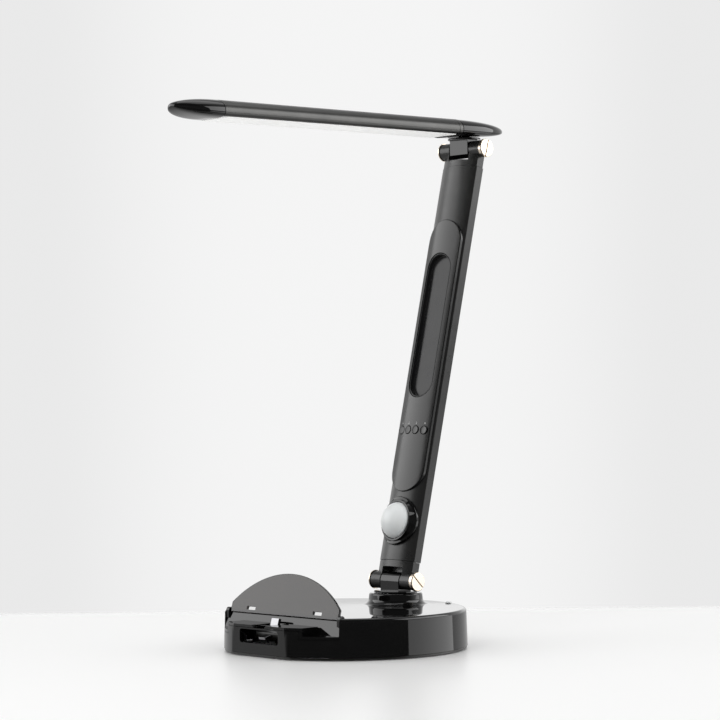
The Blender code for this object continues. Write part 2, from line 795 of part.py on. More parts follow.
def build_base_inside():
    """The bottom plate with its screws and pad, the ballast, the board and its sockets."""
    top = PLATE_BOTTOM + PLATE_THICK
    radius = BASE_RADIUS - PLATE_INSET
    plate = rod("plate", BASE, "Z", (0.0, 0.0, 0.0), radius, PLATE_BOTTOM, top, ROUND_STEPS)
    cut(plate, front_cut("plate_front", BASE, FACET_DEPTH - PLATE_INSET))
    below = Matrix.Rotation(math.radians(180.0), 4, "X")
    for number, place in enumerate(SCREW_ANGLES, 1):
        x, y = on_circle(SCREW_CIRCLE, place)
        centre = (x, y, PLATE_BOTTOM)
        sizes = (SCREW_HEAD_RADIUS, SCREW_RADIUS, SCREW_LENGTH)
        hole = csk_hole("plate_hole", BASE, "Z", (0.0, 0.0, 0.0), *sizes)
        hole.data.transform(Matrix.Translation(centre) @ below)
        cut(plate, hole)
        screw = csk_screw("screw", BASE, "Z", (0.0, 0.0, 0.0), *sizes, SCREW_RECESS)
        screw.data.transform(Matrix.Translation(centre) @ below)
        finish(screw, "base_screw_%d" % number, STEEL)
    middle = (0.0, 0.0, 0.0)
    pocket = PAD_HEIGHT + GAP
    cut(plate, rod("pad_pocket", BASE, "Z", middle, PAD_RADIUS + GAP, -OVERRUN, pocket, ROUND_STEPS))
    pad = rod("pad", BASE, "Z", middle, PAD_RADIUS, 0.0, PAD_HEIGHT, ROUND_STEPS)
    finish(pad, "base_pad", BLACK_RUBBER)
    finish(plate, "base_plate", BLACK_SATIN)

    low = ballast_bottom()
    high = low + BALLAST_THICK
    ballast = rod("ballast", BASE, "Z", (0.0, 0.0, 0.0), BALLAST_RADIUS, low, high, 2 * PIN_STEPS)
    far = BASE_RADIUS
    cut(
        ballast,
        block("ballast_front", BASE, (-far, -far, low - OVERRUN), (far, BALLAST_FRONT, high + OVERRUN)),
    )
    finish(ballast, "ballast_plate", STEEL)

    board_low = high + GAP
    board = block(
        "board",
        BASE,
        (-BASE_BOARD_HALF, BASE_BOARD_FRONT, board_low),
        (BASE_BOARD_HALF, BASE_BOARD_BACK, board_low + BOARD_THICK),
    )
    finish(board, "base_circuit_board", BOARD_GREEN)

    floor = socket_floor()
    inlet = block(
        "inlet",
        BASE,
        (-SOCKET_X - INLET_HALF, SOCKET_BACK - INLET_LENGTH, floor),
        (-SOCKET_X + INLET_HALF, SOCKET_BACK, floor + INLET_HEIGHT),
    )
    middle = (-SOCKET_X, 0.0, floor + INLET_HEIGHT / 2)
    bore = rod("bore", BASE, "Y", middle, INLET_BORE, SOCKET_BACK - INLET_DEPTH, SOCKET_BACK + OVERRUN)
    pin = rod("pin", BASE, "Y", middle, INLET_PIN, SOCKET_BACK - INLET_LENGTH, SOCKET_BACK - USB_TONGUE)
    cut(bore, pin)
    cut(inlet, bore)
    finish(inlet, "dc_inlet", BLACK_RUBBER)

    usb = block(
        "usb",
        BASE,
        (SOCKET_X - USB_HALF, SOCKET_BACK - USB_LENGTH, floor),
        (SOCKET_X + USB_HALF, SOCKET_BACK, floor + USB_HEIGHT),
    )
    mouth_back = SOCKET_BACK - INLET_DEPTH
    mouth = block(
        "usb_mouth",
        BASE,
        (SOCKET_X - USB_HALF + USB_WALL, mouth_back, floor + USB_WALL),
        (SOCKET_X + USB_HALF - USB_WALL, SOCKET_BACK + OVERRUN, floor + USB_HEIGHT - USB_WALL),
    )
    tongue_low = floor + USB_HEIGHT / 2
    tongue = block(
        "usb_tongue",
        BASE,
        (SOCKET_X - USB_TONGUE_HALF, mouth_back - OVERRUN, tongue_low),
        (SOCKET_X + USB_TONGUE_HALF, SOCKET_BACK - USB_WALL, tongue_low + USB_TONGUE),
    )
    cut(mouth, tongue)
    cut(usb, mouth)
    finish(usb, "usb_outlet", STEEL)

    rise = arc((0.0, 0.0), 1.0, 90.0, 0.0)
    lens_foot = BASE_TOP + GAP
    profile = [(LENS_RADIUS * x, lens_foot + LENS_RISE * z) for x, z in rise]
    profile[0] = (0.0, lens_foot + LENS_RISE)
    profile += [
        (LENS_STEM_RADIUS, lens_foot),
        (LENS_STEM_RADIUS, lens_foot - LENS_STEM_LENGTH),
        (0.0, lens_foot - LENS_STEM_LENGTH),
    ]
    lens = turned("lens", BASE, profile, "Z", (LENS_X, LENS_Y, 0.0), SMALL_STEPS)
    finish(lens, "indicator_lens", MILK)


def build_tray():
    """The dock's moulding: ledge, side floors, leaning wall, ears and the drum's bearings."""
    reach = dock_reach(0.0)
    behind = dock_reach(TRAY_WALL)
    far = BASE_RADIUS + OVERRUN
    low = SIDE_FLOOR_TOP - TRAY_THICK
    wall_top = DOCK_HINGE_Z - REST_THICK / 2 - GAP
    wall = [
        (reach(low), low),
        (behind(low), low),
        (behind(wall_top), wall_top),
        (reach(wall_top), wall_top),
    ]
    tray = prism("tray", BASE, wall, "X", -far, far)
    ear_low = wall_top - OVERRUN
    ear_foot = [
        (DOCK_HINGE_Y - EAR_RADIUS, ear_low),
        (behind(ear_low) - FACE_OFFSET, ear_low),
        (behind(DOCK_HINGE_Z) - FACE_OFFSET, DOCK_HINGE_Z),
        (DOCK_HINGE_Y - EAR_RADIUS, DOCK_HINGE_Z),
    ]
    inside = TRAY_HALF - TRAY_THICK
    riser_back = reach(low) + TRAY_WALL / 2
    join(
        tray,
        block("ledge", BASE, (-TRAY_HALF, -far, TRAY_TOP - TRAY_THICK), (TRAY_HALF, riser_back, TRAY_TOP)),
    )
    for side in (-1, 1):
        edges = sorted((side * inside, side * TRAY_HALF))
        floor_edges = sorted((side * (inside + GAP), side * far))
        ear_edges = sorted((side * EAR_INNER, side * far))
        join(
            tray,
            block("riser", BASE, (edges[0], -far, low + GAP), (edges[1], riser_back, TRAY_TOP - GAP)),
            block(
                "side_floor",
                BASE,
                (floor_edges[0], -far, low),
                (floor_edges[1], riser_back, SIDE_FLOOR_TOP),
            ),
            rod(
                "ear",
                BASE,
                "X",
                (0.0, DOCK_HINGE_Y, DOCK_HINGE_Z),
                EAR_RADIUS,
                ear_edges[0],
                ear_edges[1],
                SMALL_STEPS,
            ),
            prism("ear_foot", BASE, ear_foot, "X", ear_edges[0], ear_edges[1]),
        )
    lug_low = DRUM_Z - LUG_HALF
    for side in (-1, 1):
        edges = sorted((side * (DRUM_HALF + GAP), side * (DRUM_HALF + GAP + LUG_THICK)))
        join(
            tray,
            block(
                "lug",
                BASE,
                (edges[0], DRUM_Y - LUG_HALF, lug_low),
                (edges[1], DRUM_Y + LUG_HALF, TRAY_TOP - TRAY_THICK / 2),
            ),
        )
    outline = turned(
        "tray_outline",
        BASE,
        puck_profile(
            BASE_TOP_RADIUS - TRAY_INSET,
            BASE_RADIUS - TRAY_INSET,
            DOCK_HINGE_Z + EAR_RADIUS + OVERRUN,
            COVER_BOTTOM,
            BASE_RIM,
        ),
    )
    cut(outline, front_cut("tray_outline_front", BASE, FACET_DEPTH - TRAY_INSET))
    end = DOCK_END - GAP
    keep_within(outline, block("tray_ends", BASE, (-end, -far, -OVERRUN), (end, far, BOSS_TOP)))
    keep_within(tray, outline)
    notch = [
        (-NOTCH_HALF - NOTCH_SPREAD, TRAY_TOP + GAP),
        (-NOTCH_HALF, TRAY_TOP - NOTCH_DEPTH),
        (NOTCH_HALF, TRAY_TOP - NOTCH_DEPTH),
        (NOTCH_HALF + NOTCH_SPREAD, TRAY_TOP + GAP),
    ]
    pin_reach = DRUM_HALF + 2 * LUG_THICK
    stub_reach = REST_HALF + STUB_LENGTH + GAP
    cut(
        tray,
        prism("notch", BASE, notch, "Y", -far, NOTCH_REACH - FACET_DEPTH),
        rod(
            "drum_sweep",
            BASE,
            "X",
            (0.0, DRUM_Y, DRUM_Z),
            DRUM_SWEEP,
            -DRUM_SLOT_HALF,
            DRUM_SLOT_HALF,
        ),
        rod(
            "drum_pin_hole",
            BASE,
            "X",
            (0.0, DRUM_Y, DRUM_Z),
            DRUM_PIN + GAP,
            -pin_reach,
            pin_reach,
            SMALL_STEPS,
        ),
        rod(
            "stub_hole",
            BASE,
            "X",
            (0.0, DOCK_HINGE_Y, DOCK_HINGE_Z),
            STUB_RADIUS + GAP,
            -stub_reach,
            stub_reach,
            SMALL_STEPS,
        ),
    )
    finish(tray, "dock_tray", BLACK_GLOSS)
    pin = rod(
        "pin",
        BASE,
        "X",
        (0.0, DRUM_Y, DRUM_Z),
        DRUM_PIN,
        -DRUM_HALF - LUG_THICK,
        DRUM_HALF + LUG_THICK,
        SMALL_STEPS,
    )
    finish(pin, "connector_pin", STEEL)


def build_backrest():
    """The smoked plate that leans behind the device and folds down over the dock."""
    centre = REST_HEIGHT - REST_RADIUS
    shoulder = centre + math.sqrt(REST_RADIUS**2 - REST_HALF**2)
    start = math.degrees(math.asin((shoulder - centre) / REST_RADIUS))
    outline = [(REST_HALF, 0.0)]
    outline += arc((0.0, centre), REST_RADIUS, start, 180.0 - start, 4 * ARC_STEPS)
    outline.append((-REST_HALF, 0.0))
    half = REST_THICK / 2
    plate = prism("rest", REST, outline, "Y", -half, half)
    reach = REST_HALF + STUB_LENGTH
    join(plate, rod("stubs", REST, "X", (0.0, 0.0, 0.0), STUB_RADIUS, -reach, reach, SMALL_STEPS))
    for side_sign in (-1, 1):
        middle = side_sign * SLOT_X
        cut(
            plate,
            block(
                "slot",
                REST,
                (middle - SLOT_WIDTH / 2, -OVERRUN, SLOT_SILL),
                (middle + SLOT_WIDTH / 2, OVERRUN, SLOT_SILL + SLOT_HEIGHT),
            ),
        )
    finish(plate, "dock_backrest", SMOKE)


def build_connector():
    """The small drum in the dock that turns one of three plugs up, and those plugs."""
    drum = rod("drum", DRUM, "X", (0.0, 0.0, 0.0), DRUM_RADIUS, -DRUM_HALF, DRUM_HALF)
    over = DRUM_HALF + OVERRUN
    cut(drum, rod("drum_bore", DRUM, "X", (0.0, 0.0, 0.0), DRUM_BORE, -over, over, SMALL_STEPS))
    finish(drum, "connector_drum", BLACK_SATIN)
    for i, (width, thick) in enumerate(PLUG_SIZES):
        corner = PLUG_CORNER
        outline = rounded_box(width / 2, -thick / 2, thick / 2, corner)
        plug = prism("plug", DRUM, outline, "Z", DRUM_RADIUS + GAP, PLUG_TIP)
        plug.data.transform(Matrix.Rotation(math.radians(PLUG_TURN * i), 4, "X"))
        finish(plug, "connector_plug_%d" % (i + 1), STEEL)


def slotted_head(name, frame, side, thick, edge, stem, slot_turn, slot_depth):
    """A round head with a rounded rim and a slot, on a stem, at one end of a hinge."""
    start = FORK_OUTER + GAP
    end = start + thick
    rim = arc((BOLT_HEAD_RADIUS - edge, end - edge), edge, 90.0, 0.0, 3)
    profile = [(0.0, end)] + rim + [(BOLT_HEAD_RADIUS, start)] + stem
    made = turned(name, None, profile, "Z", steps=PIN_STEPS)
    made.data.transform(Matrix.Rotation(math.radians(90.0 * side), 4, "Y"))
    made.parent = frame
    edges = sorted((side * (end - slot_depth), side * (end + OVERRUN)))
    slot = block(
        "bolt_slot",
        frame,
        (edges[0], -BOLT_HEAD_RADIUS - OVERRUN, -BOLT_SLOT_WIDTH / 2),
        (edges[1], BOLT_HEAD_RADIUS + OVERRUN, BOLT_SLOT_WIDTH / 2),
    )
    slot.data.transform(Matrix.Rotation(math.radians(slot_turn), 4, "X"))
    return cut(made, slot)


def hinge_bolt(label, frame, slot_turn):
    """A bolt with a slotted head and, on the other side, its thin slotted sleeve nut."""
    start = FORK_OUTER + GAP
    stem = [(BOLT_RADIUS, start), (BOLT_RADIUS, -BOLT_END), (0.0, -BOLT_END)]
    head = (1, BOLT_HEAD_THICK, BOLT_HEAD_EDGE, stem, slot_turn, BOLT_SLOT_DEPTH)
    finish(slotted_head("bolt", frame, *head), label + "_bolt", PALE_GOLD)
    bore = BOLT_RADIUS + GAP
    stem = [(bore, start), (bore, BOLT_END + GAP), (0.0, BOLT_END + GAP)]
    head = (-1, SLEEVE_HEAD_THICK, SLEEVE_EDGE, stem, slot_turn, SLEEVE_SLOT_DEPTH)
    finish(slotted_head("nut", frame, *head), label + "_sleeve_nut", PALE_GOLD)
    for number, side in enumerate((-1, 1), 1):
        edges = sorted((side * (KNUCKLE_HALF + GAP), side * (KNUCKLE_HALF + GAP + WASHER_THICK)))
        ring = [
            (BOLT_RADIUS + GAP, edges[1]),
            (WASHER_RADIUS, edges[1]),
            (WASHER_RADIUS, edges[0]),
            (BOLT_RADIUS + GAP, edges[0]),
        ]
        washer = turned("washer", frame, ring, "X", (0.0, 0.0, 0.0), PIN_STEPS, ring=True)
        finish(washer, "%s_washer_%d" % (label, number), BLACK_RUBBER)


def knuckle_bore(frame):
    """The hole that the hinge bolt runs through."""
    reach = FORK_OUTER + OVERRUN
    return rod("bolt_bore", frame, "X", (0.0, 0.0, 0.0), BOLT_RADIUS + GAP, -reach, reach)


def ring_solid(name, frame, radius, bore, low, high, steps=PIN_STEPS):
    """A plain ring standing on its axis."""
    return turned(
        name, frame, [(bore, high), (radius, high), (radius, low), (bore, low)], "Z", steps=steps, ring=True
    )


def build_turntable():
    """The disc, neck and middle knuckle that carry the arm, and the nut that holds them."""
    axis_height = LOWER_AXIS[2]
    low = BOSS_TOP + GAP - axis_height
    nut_top = BOSS_TOP - BASE_WALL - GAP - axis_height
    nut_bottom = nut_top - NUT_THICK
    table = rod("table", SWIVEL, "Z", (0.0, 0.0, 0.0), TURN_RADIUS, low, low + TURN_THICK, 2 * PIN_STEPS)
    join(
        table,
        block(
            "neck",
            SWIVEL,
            (-KNUCKLE_HALF, -NECK_HALF + FACE_OFFSET, low + TURN_THICK / 2),
            (KNUCKLE_HALF, NECK_HALF - FACE_OFFSET, 0.0),
        ),
        rod("knuckle", SWIVEL, "X", (0.0, 0.0, 0.0), KNUCKLE_RADIUS, -KNUCKLE_HALF, KNUCKLE_HALF),
        rod("shaft", SWIVEL, "Z", (0.0, 0.0, 0.0), SHAFT_RADIUS, nut_bottom - TURN_THICK, low + TURN_THICK),
    )
    cut(table, knuckle_bore(SWIVEL))
    finish(table, "swivel_knuckle", BLACK_GLOSS)
    nut = ring_solid("nut", SWIVEL, NUT_RADIUS, SHAFT_RADIUS + GAP, nut_bottom, nut_top)
    finish(nut, "swivel_nut", STEEL)


def crown(across, front):
    """How far back the arched front of the arm lies at a place across it."""
    return -front + (ARM_CROWN - ARM_EDGE) * (across / ARM_HALF) ** 2


def crown_points(half, front):
    """The arched front from its right edge to its left."""
    places = [half * (1 - 2 * i / CROWN_STEPS) for i in range(CROWN_STEPS + 1)]
    return [(x, crown(x, front)) for x in places]


def panel_front(across):
    """How far back the panel's own front lies, which is flatter than the arm's."""
    return PANEL_DROP * (across / PANEL_HALF) ** 2 - ARM_CROWN - PANEL_RISE


def panel_strip(name, half, start, end):
    """A strip from the arm's arched front, with a gap, up to the panel's flatter one."""
    back = crown_points(half, ARM_CROWN + GAP)
    outline = [(x, panel_front(x)) for x, _ in back] + back[::-1]
    return prism(name, ARM, outline, "Z", start, end)


def panel_inside(name, sink):
    """The space behind a front that lies a little under the panel's, along the whole panel."""
    half = PANEL_HALF
    places = [x for x, _ in crown_points(half, ARM_CROWN)]
    outline = [(x, panel_front(x) + sink) for x in places] + [(-half, 0.0), (half, 0.0)]
    return prism(name, ARM, outline, "Z", PANEL_START, PANEL_END)


def stadium_solid(name, half, start, end, front, back):
    """A body with a stadium outline between two depths in the arm."""
    return prism(name, ARM, stadium(half, start, end), "Y", front, back)


def crown_body(name, half, front, back, start, end):
    """A full body with the arched front and a flat back."""
    outline = crown_points(half, front) + [(-half, back), (half, back)]
    return prism(name, ARM, outline, "Z", start, end)


def build_fork(name, flip):
    """A fork: two cheeks with outer knuckles, the bridge and web between, and a tongue.

    The lower fork stands on the lower hinge; the upper one is its mirror at the far end.
    """
    reach = SHELL_SETBACK - GAP

    def along(start, end):
        """Turns a distance from the hinge into one from the lower hinge, low end first."""
        return tuple(sorted((ARM_LENGTH - start, ARM_LENGTH - end))) if flip else (start, end)

    low, high = along(CHEEK_START, reach)
    half = ARM_HALF - BRIDGE_INSET
    back = ARM_BACK - BRIDGE_INSET
    fork = crown_body("fork", half, ARM_CROWN - BRIDGE_INSET, back, low, high)
    front = -ARM_CROWN - OVERRUN
    low, high = along(-OVERRUN, reach - BRIDGE_THICK)
    cut(fork, block("knuckle_space", ARM, (-FORK_INNER, front, low), (FORK_INNER, WEB_FRONT, high)))
    low, high = along(-OVERRUN, WEB_START)
    cut(fork, block("web_end", ARM, (-FORK_INNER, front, low), (FORK_INNER, back + OVERRUN, high)))
    low, high = along(reach - GAP, reach + TONGUE_LENGTH)
    tongue_back = ARM_BACK - BACK_PLATE - GAP
    join(fork, block("tongue", ARM, (-TONGUE_HALF, -TONGUE_FRONT, low), (TONGUE_HALF, tongue_back, high)))
    hinge = (0.0, 0.0, ARM_LENGTH if flip else 0.0)
    for side in (-1, 1):
        edges = sorted((side * (FORK_INNER + FACE_OFFSET), side * FORK_OUTER))
        join(fork, rod("outer_knuckle", ARM, "X", hinge, KNUCKLE_RADIUS, edges[0], edges[1]))
    bore_reach = FORK_OUTER + OVERRUN
    cut(fork, rod("fork_bore", ARM, "X", hinge, BOLT_RADIUS + GAP, -bore_reach, bore_reach))
    for side in (-1, 1):
        place = arm_screw_place(side, flip)
        cut(fork, arm_screw_hole(place))
    finish(fork, name, BLACK_GLOSS)


def arm_screw_place(side, flip):
    """Where one of the four screws enters the back cover."""
    along = ARM_LENGTH - ARM_SCREW_REACH if flip else ARM_SCREW_REACH
    return (side * ARM_SCREW_X, ARM_BACK, along)


def arm_screw_hole(place):
    """The hole for one screw, through the back cover and into a fork's tongue."""
    sizes = (ARM_SCREW_HEAD, ARM_SCREW_RADIUS, ARM_SCREW_LENGTH)
    return csk_hole("screw_hole", ARM, "Y", place, *sizes)


def build_arm_shells():
    """The long front shell, the flat cover at its back and the screws that hold it."""
    start = SHELL_SETBACK
    end = ARM_LENGTH - SHELL_SETBACK
    inner = ARM_HALF - ARM_WALL
    outline = [(ARM_HALF, ARM_BACK)] + crown_points(ARM_HALF, ARM_CROWN) + [(-ARM_HALF, ARM_BACK)]
    outline += [(-inner, ARM_BACK)] + crown_points(inner, ARM_CROWN - ARM_WALL)[::-1] + [(inner, ARM_BACK)]
    shell = prism("shell", ARM, outline, "Z", start, end)
    front = -ARM_CROWN - OVERRUN
    cut(shell, display_space("display_opening", SLEEVE_WALL + GAP, front, 0.0))
    for i in range(BUTTON_COUNT):
        cut(shell, button_bore(i))
    sensor = (0.0, 0.0, SENSOR_PLACE)
    cut(shell, rod("sensor_opening", ARM, "FRONT", sensor, SENSOR_HOLE, 0.0, -front))
    finish(shell, "arm_front_shell", BLACK_SATIN)

    half = inner - GAP
    cover_front = ARM_BACK - BACK_PLATE
    cover = block("arm_back", ARM, (-half, cover_front, start + GAP), (half, ARM_BACK, end - GAP))
    post_front = BOARD_THICK - BOARD_FRONT + GAP
    for place in POST_PLACES:
        for side in (-1, 1):
            centre = (side * ARM_SCREW_X, 0.0, place)
            join(
                cover,
                rod(
                    "post",
                    ARM,
                    "Y",
                    centre,
                    POST_RADIUS,
                    post_front,
                    cover_front + BACK_PLATE / 2,
                    SMALL_STEPS,
                ),
            )
    number = 0
    for flip in (False, True):
        for side in (-1, 1):
            place = arm_screw_place(side, flip)
            cut(cover, arm_screw_hole(place))
            sizes = (ARM_SCREW_HEAD, ARM_SCREW_RADIUS, ARM_SCREW_LENGTH)
            screw = csk_screw("arm_screw", ARM, "Y", place, *sizes, SCREW_RECESS)
            number += 1
            finish(screw, "arm_screw_%d" % number, STEEL)
    finish(cover, "arm_back_cover", BLACK_SATIN)


def button_x(index):
    """The place of a button across the arm."""
    return (index - (BUTTON_COUNT - 1) / 2) * BUTTON_PITCH


def button_bore(index):
    """The hole of one button, through the panel and the shell."""
    place = (button_x(index), 0.0, BUTTON_PLACE)
    over = ARM_CROWN + PANEL_RISE + OVERRUN
    return rod("button_bore", ARM, "FRONT", place, BUTTON_RADIUS + GAP, 0.0, over, SMALL_STEPS)


def display_space(name, margin, front, back):
    """The display's opening with a margin all round, between two depths in the arm."""
    half = DISPLAY_HALF + margin
    return stadium_solid(name, half, DISPLAY_START - margin, DISPLAY_END + margin, front, back)


def build_controls():
    """The glossy panel with its sunk display, its four buttons and what lies behind them."""
    over = ARM_CROWN + PANEL_RISE + OVERRUN
    window_back = DISPLAY_THICK - DISPLAY_FRONT
    panel = panel_strip("panel", PANEL_HALF + OVERRUN / 2, PANEL_START - OVERRUN, PANEL_END + OVERRUN)
    keep_within(panel, stadium_solid("panel_outline", PANEL_HALF, PANEL_START, PANEL_END, -over, 0.0))
    sleeve = display_space("sleeve", SLEEVE_WALL, -over, window_back)
    join(panel, keep_within(sleeve, panel_inside("sleeve_limit", PANEL_RISE / 4)))
    cut(panel, display_space("display_hole", 0.0, -over, OVERRUN))
    for i in range(BUTTON_COUNT):
        cut(panel, button_bore(i))
    finish(panel, "control_panel", BLACK_GLOSS)

    window = display_space("window", -GAP, -DISPLAY_FRONT, window_back)
    finish(window, "display_window", GLASS_DARK)

    board_front = -BOARD_FRONT
    module = block(
        "module",
        ARM,
        (-MODULE_HALF, -MODULE_FRONT, DISPLAY_START + MODULE_END),
        (MODULE_HALF, board_front - GAP, DISPLAY_END - MODULE_END),
    )
    finish(module, "display_module", BLACK_RUBBER)
    board = block(
        "arm_board",
        ARM,
        (-BOARD_HALF, board_front, BOARD_START),
        (BOARD_HALF, board_front + BOARD_THICK, BOARD_END),
    )
    finish(board, "arm_circuit_board", BOARD_GREEN)

    for i in range(BUTTON_COUNT):
        x = button_x(i)
        rise = BUTTON_RISE - panel_front(x)
        origin = frame_at("button_%d_axis" % (i + 1), (x, -BUTTON_FOOT, BUTTON_PLACE), 0.0, ARM)
        button = rod(
            "button", origin, "FRONT", (0.0, 0.0, 0.0), BUTTON_RADIUS, 0.0, rise - BUTTON_FOOT, SMALL_STEPS
        )
        finish(button, "button_%d" % (i + 1), BLACK_GLOSS)
        switch = block(
            "switch",
            ARM,
            (x - SWITCH_HALF, board_front - SWITCH_HEIGHT, BUTTON_PLACE - SWITCH_HALF),
            (x + SWITCH_HALF, board_front + BOARD_THICK / 2, BUTTON_PLACE + SWITCH_HALF),
        )
        join(board, switch)


def arched_space(name, front):
    """The space behind an arched front, round the sensor."""
    reach = RING_RADIUS + 2 * OVERRUN
    low = SENSOR_PLACE - reach
    high = SENSOR_PLACE + reach
    return crown_body(name, ARM_HALF + OVERRUN, front, ARM_BACK, low, high)


def shell_stamp(name):
    """The space of the arm's arched front with a gap, which shapes what sits on it."""
    return arched_space(name, ARM_CROWN + GAP)


def sensor_band(name, bore, foot_bore, radius, top):
    """An oval ring round the sensor, from the middle of the arm out to a flat top."""
    profile = [(bore, top), (radius, top), (radius, 0.0), (foot_bore, 0.0)]
    place = (0.0, 0.0, SENSOR_PLACE)
    return turned(
        name, ARM, profile, "FRONT", place, ROUND_STEPS // 2, ring=True, long_share=RING_LONG_SHARE
    )


def dome_arc(shrink, first, last):
    """Points on the dome's round front, which is less than half a ball, or on its inner side."""
    centre = (0.0, COLLAR_TOP + DOME_HEIGHT - DOME_ROUND)
    edge = math.degrees(math.acos((DOME_RADIUS - shrink) / (DOME_ROUND - shrink)))
    span = 90.0 - edge
    return arc(centre, DOME_ROUND - shrink, edge + span * first, edge + span * last, 2 * ARC_STEPS)


def build_sensor():
    """The raised ring with its flat collar, the milky dome in it and the sensor behind."""
    place = (0.0, 0.0, SENSOR_PLACE)
    bezel = sensor_band("ring", RING_BORE, RING_BORE, RING_RADIUS, COLLAR_TOP)
    collar = RING_BORE + COLLAR_WIDTH
    above = collar - COLLAR_DRAFT_SHARE * OVERRUN
    foot_bore = collar + COLLAR_DRAFT_SHARE * COLLAR_TOP
    rim = sensor_band("rim_space", above, foot_bore, RING_RADIUS + OVERRUN, COLLAR_TOP + OVERRUN)
    cut(rim, arched_space("rim_front", ARM_CROWN + RING_RISE))
    cut(bezel, rim, shell_stamp("ring_stamp"))
    finish(bezel, "sensor_ring", BLACK_GLOSS)

    outer = dome_arc(0.0, 1.0, 0.0)
    inner = dome_arc(DOME_WALL, 0.0, 1.0)
    outer[0] = (0.0, COLLAR_TOP + DOME_HEIGHT)
    inner[-1] = (0.0, COLLAR_TOP + DOME_HEIGHT - DOME_WALL)
    foot = [(DOME_RADIUS, 0.0), (DOME_RADIUS - DOME_WALL, 0.0)]
    dome = turned(
        "dome", ARM, outer + foot + inner, "FRONT", place, PIN_STEPS, long_share=RING_LONG_SHARE
    )
    cut(dome, shell_stamp("dome_stamp"))
    finish(dome, "sensor_dome", MILK)

    can = [
        (0.0, SENSOR_CAN_TOP),
        (SENSOR_CAN_RADIUS, SENSOR_CAN_TOP),
        (SENSOR_CAN_RADIUS, SENSOR_CAN_FOOT),
        (SENSOR_STEM_RADIUS, SENSOR_CAN_FOOT),
        (SENSOR_STEM_RADIUS, BOARD_FRONT + GAP),
        (0.0, BOARD_FRONT + GAP),
    ]
    element = turned("element", ARM, can, "FRONT", place, SMALL_STEPS)
    finish(element, "motion_sensor", STEEL)


def head_section(shrink, wall, belt):
    """The head's rounded section: a flat underside, a belt at its widest and a domed top.

    The points run round the belt's middle; the shares set how square each half is.
    """
    found = []
    for i in range(SECTION_STEPS):
        angle = 2 * math.pi * (i + 0.5) / SECTION_STEPS
        cosine, sine = math.cos(angle), math.sin(angle)
        shares = TOP_ROUND_SHARES if sine > 0 else BOTTOM_ROUND_SHARES
        reach = HEAD_THICK - HEAD_BELT if sine > 0 else HEAD_BELT
        across = math.copysign(abs(cosine) ** shares[0], cosine) * (HEAD_HALF - wall)
        up = math.copysign(abs(sine) ** shares[1], sine) * (reach - wall)
        found.append((across * shrink, belt + up * shrink))
    return found


def belt_height():
    """The height of the head's widest line."""
    return HEAD_UNDERSIDE + HEAD_BELT


def cap_loft(name, seam, end, tip_rise, wall):
    """A pointed cap: the head's section shrinks along an ellipse to a tip.

    With a wall it is the cap's hollow, behind the bulkhead that carries the tongue.
    """
    length = end - seam
    rings = []
    tip_height = HEAD_UNDERSIDE + tip_rise
    start = seam + math.copysign(wall, length)
    reach = length - 2 * math.copysign(wall, length)
    for share in CAP_STEP_SHARES:
        shrink = (1 - share**CAP_POWER_SHARE) ** 0.5
        belt = tip_height + (belt_height() - tip_height) * shrink
        y = start + reach * share
        rings.append([(x, y, z) for x, z in head_section(shrink, wall, belt)])
    return loft(name, HEAD, rings, (0.0, start + reach, tip_height))


def cap_tongue(name, seam, towards):
    """The block on a cap that fits inside the head's profile."""
    inside = seam + towards * (CAP_TONGUE_LENGTH + GAP)
    edges = sorted((inside, seam - towards * CAP_WALL))
    return block(
        name,
        HEAD,
        (-CAP_TONGUE_HALF, edges[0], CAP_TONGUE_BOTTOM),
        (CAP_TONGUE_HALF, edges[1], CAP_TONGUE_TOP),
    )


def tongue_core(name, seam, towards):
    """The hollow of a cap's tongue, which keeps it open for the wires."""
    inside = seam + towards * (CAP_TONGUE_LENGTH + OVERRUN)
    edges = sorted((inside, seam - towards * (CAP_WALL + OVERRUN)))
    return block(
        name,
        HEAD,
        (HEAD_WALL - CAP_TONGUE_HALF, edges[0], CAP_TONGUE_BOTTOM + HEAD_WALL),
        (CAP_TONGUE_HALF - HEAD_WALL, edges[1], CAP_TONGUE_TOP - HEAD_WALL),
    )


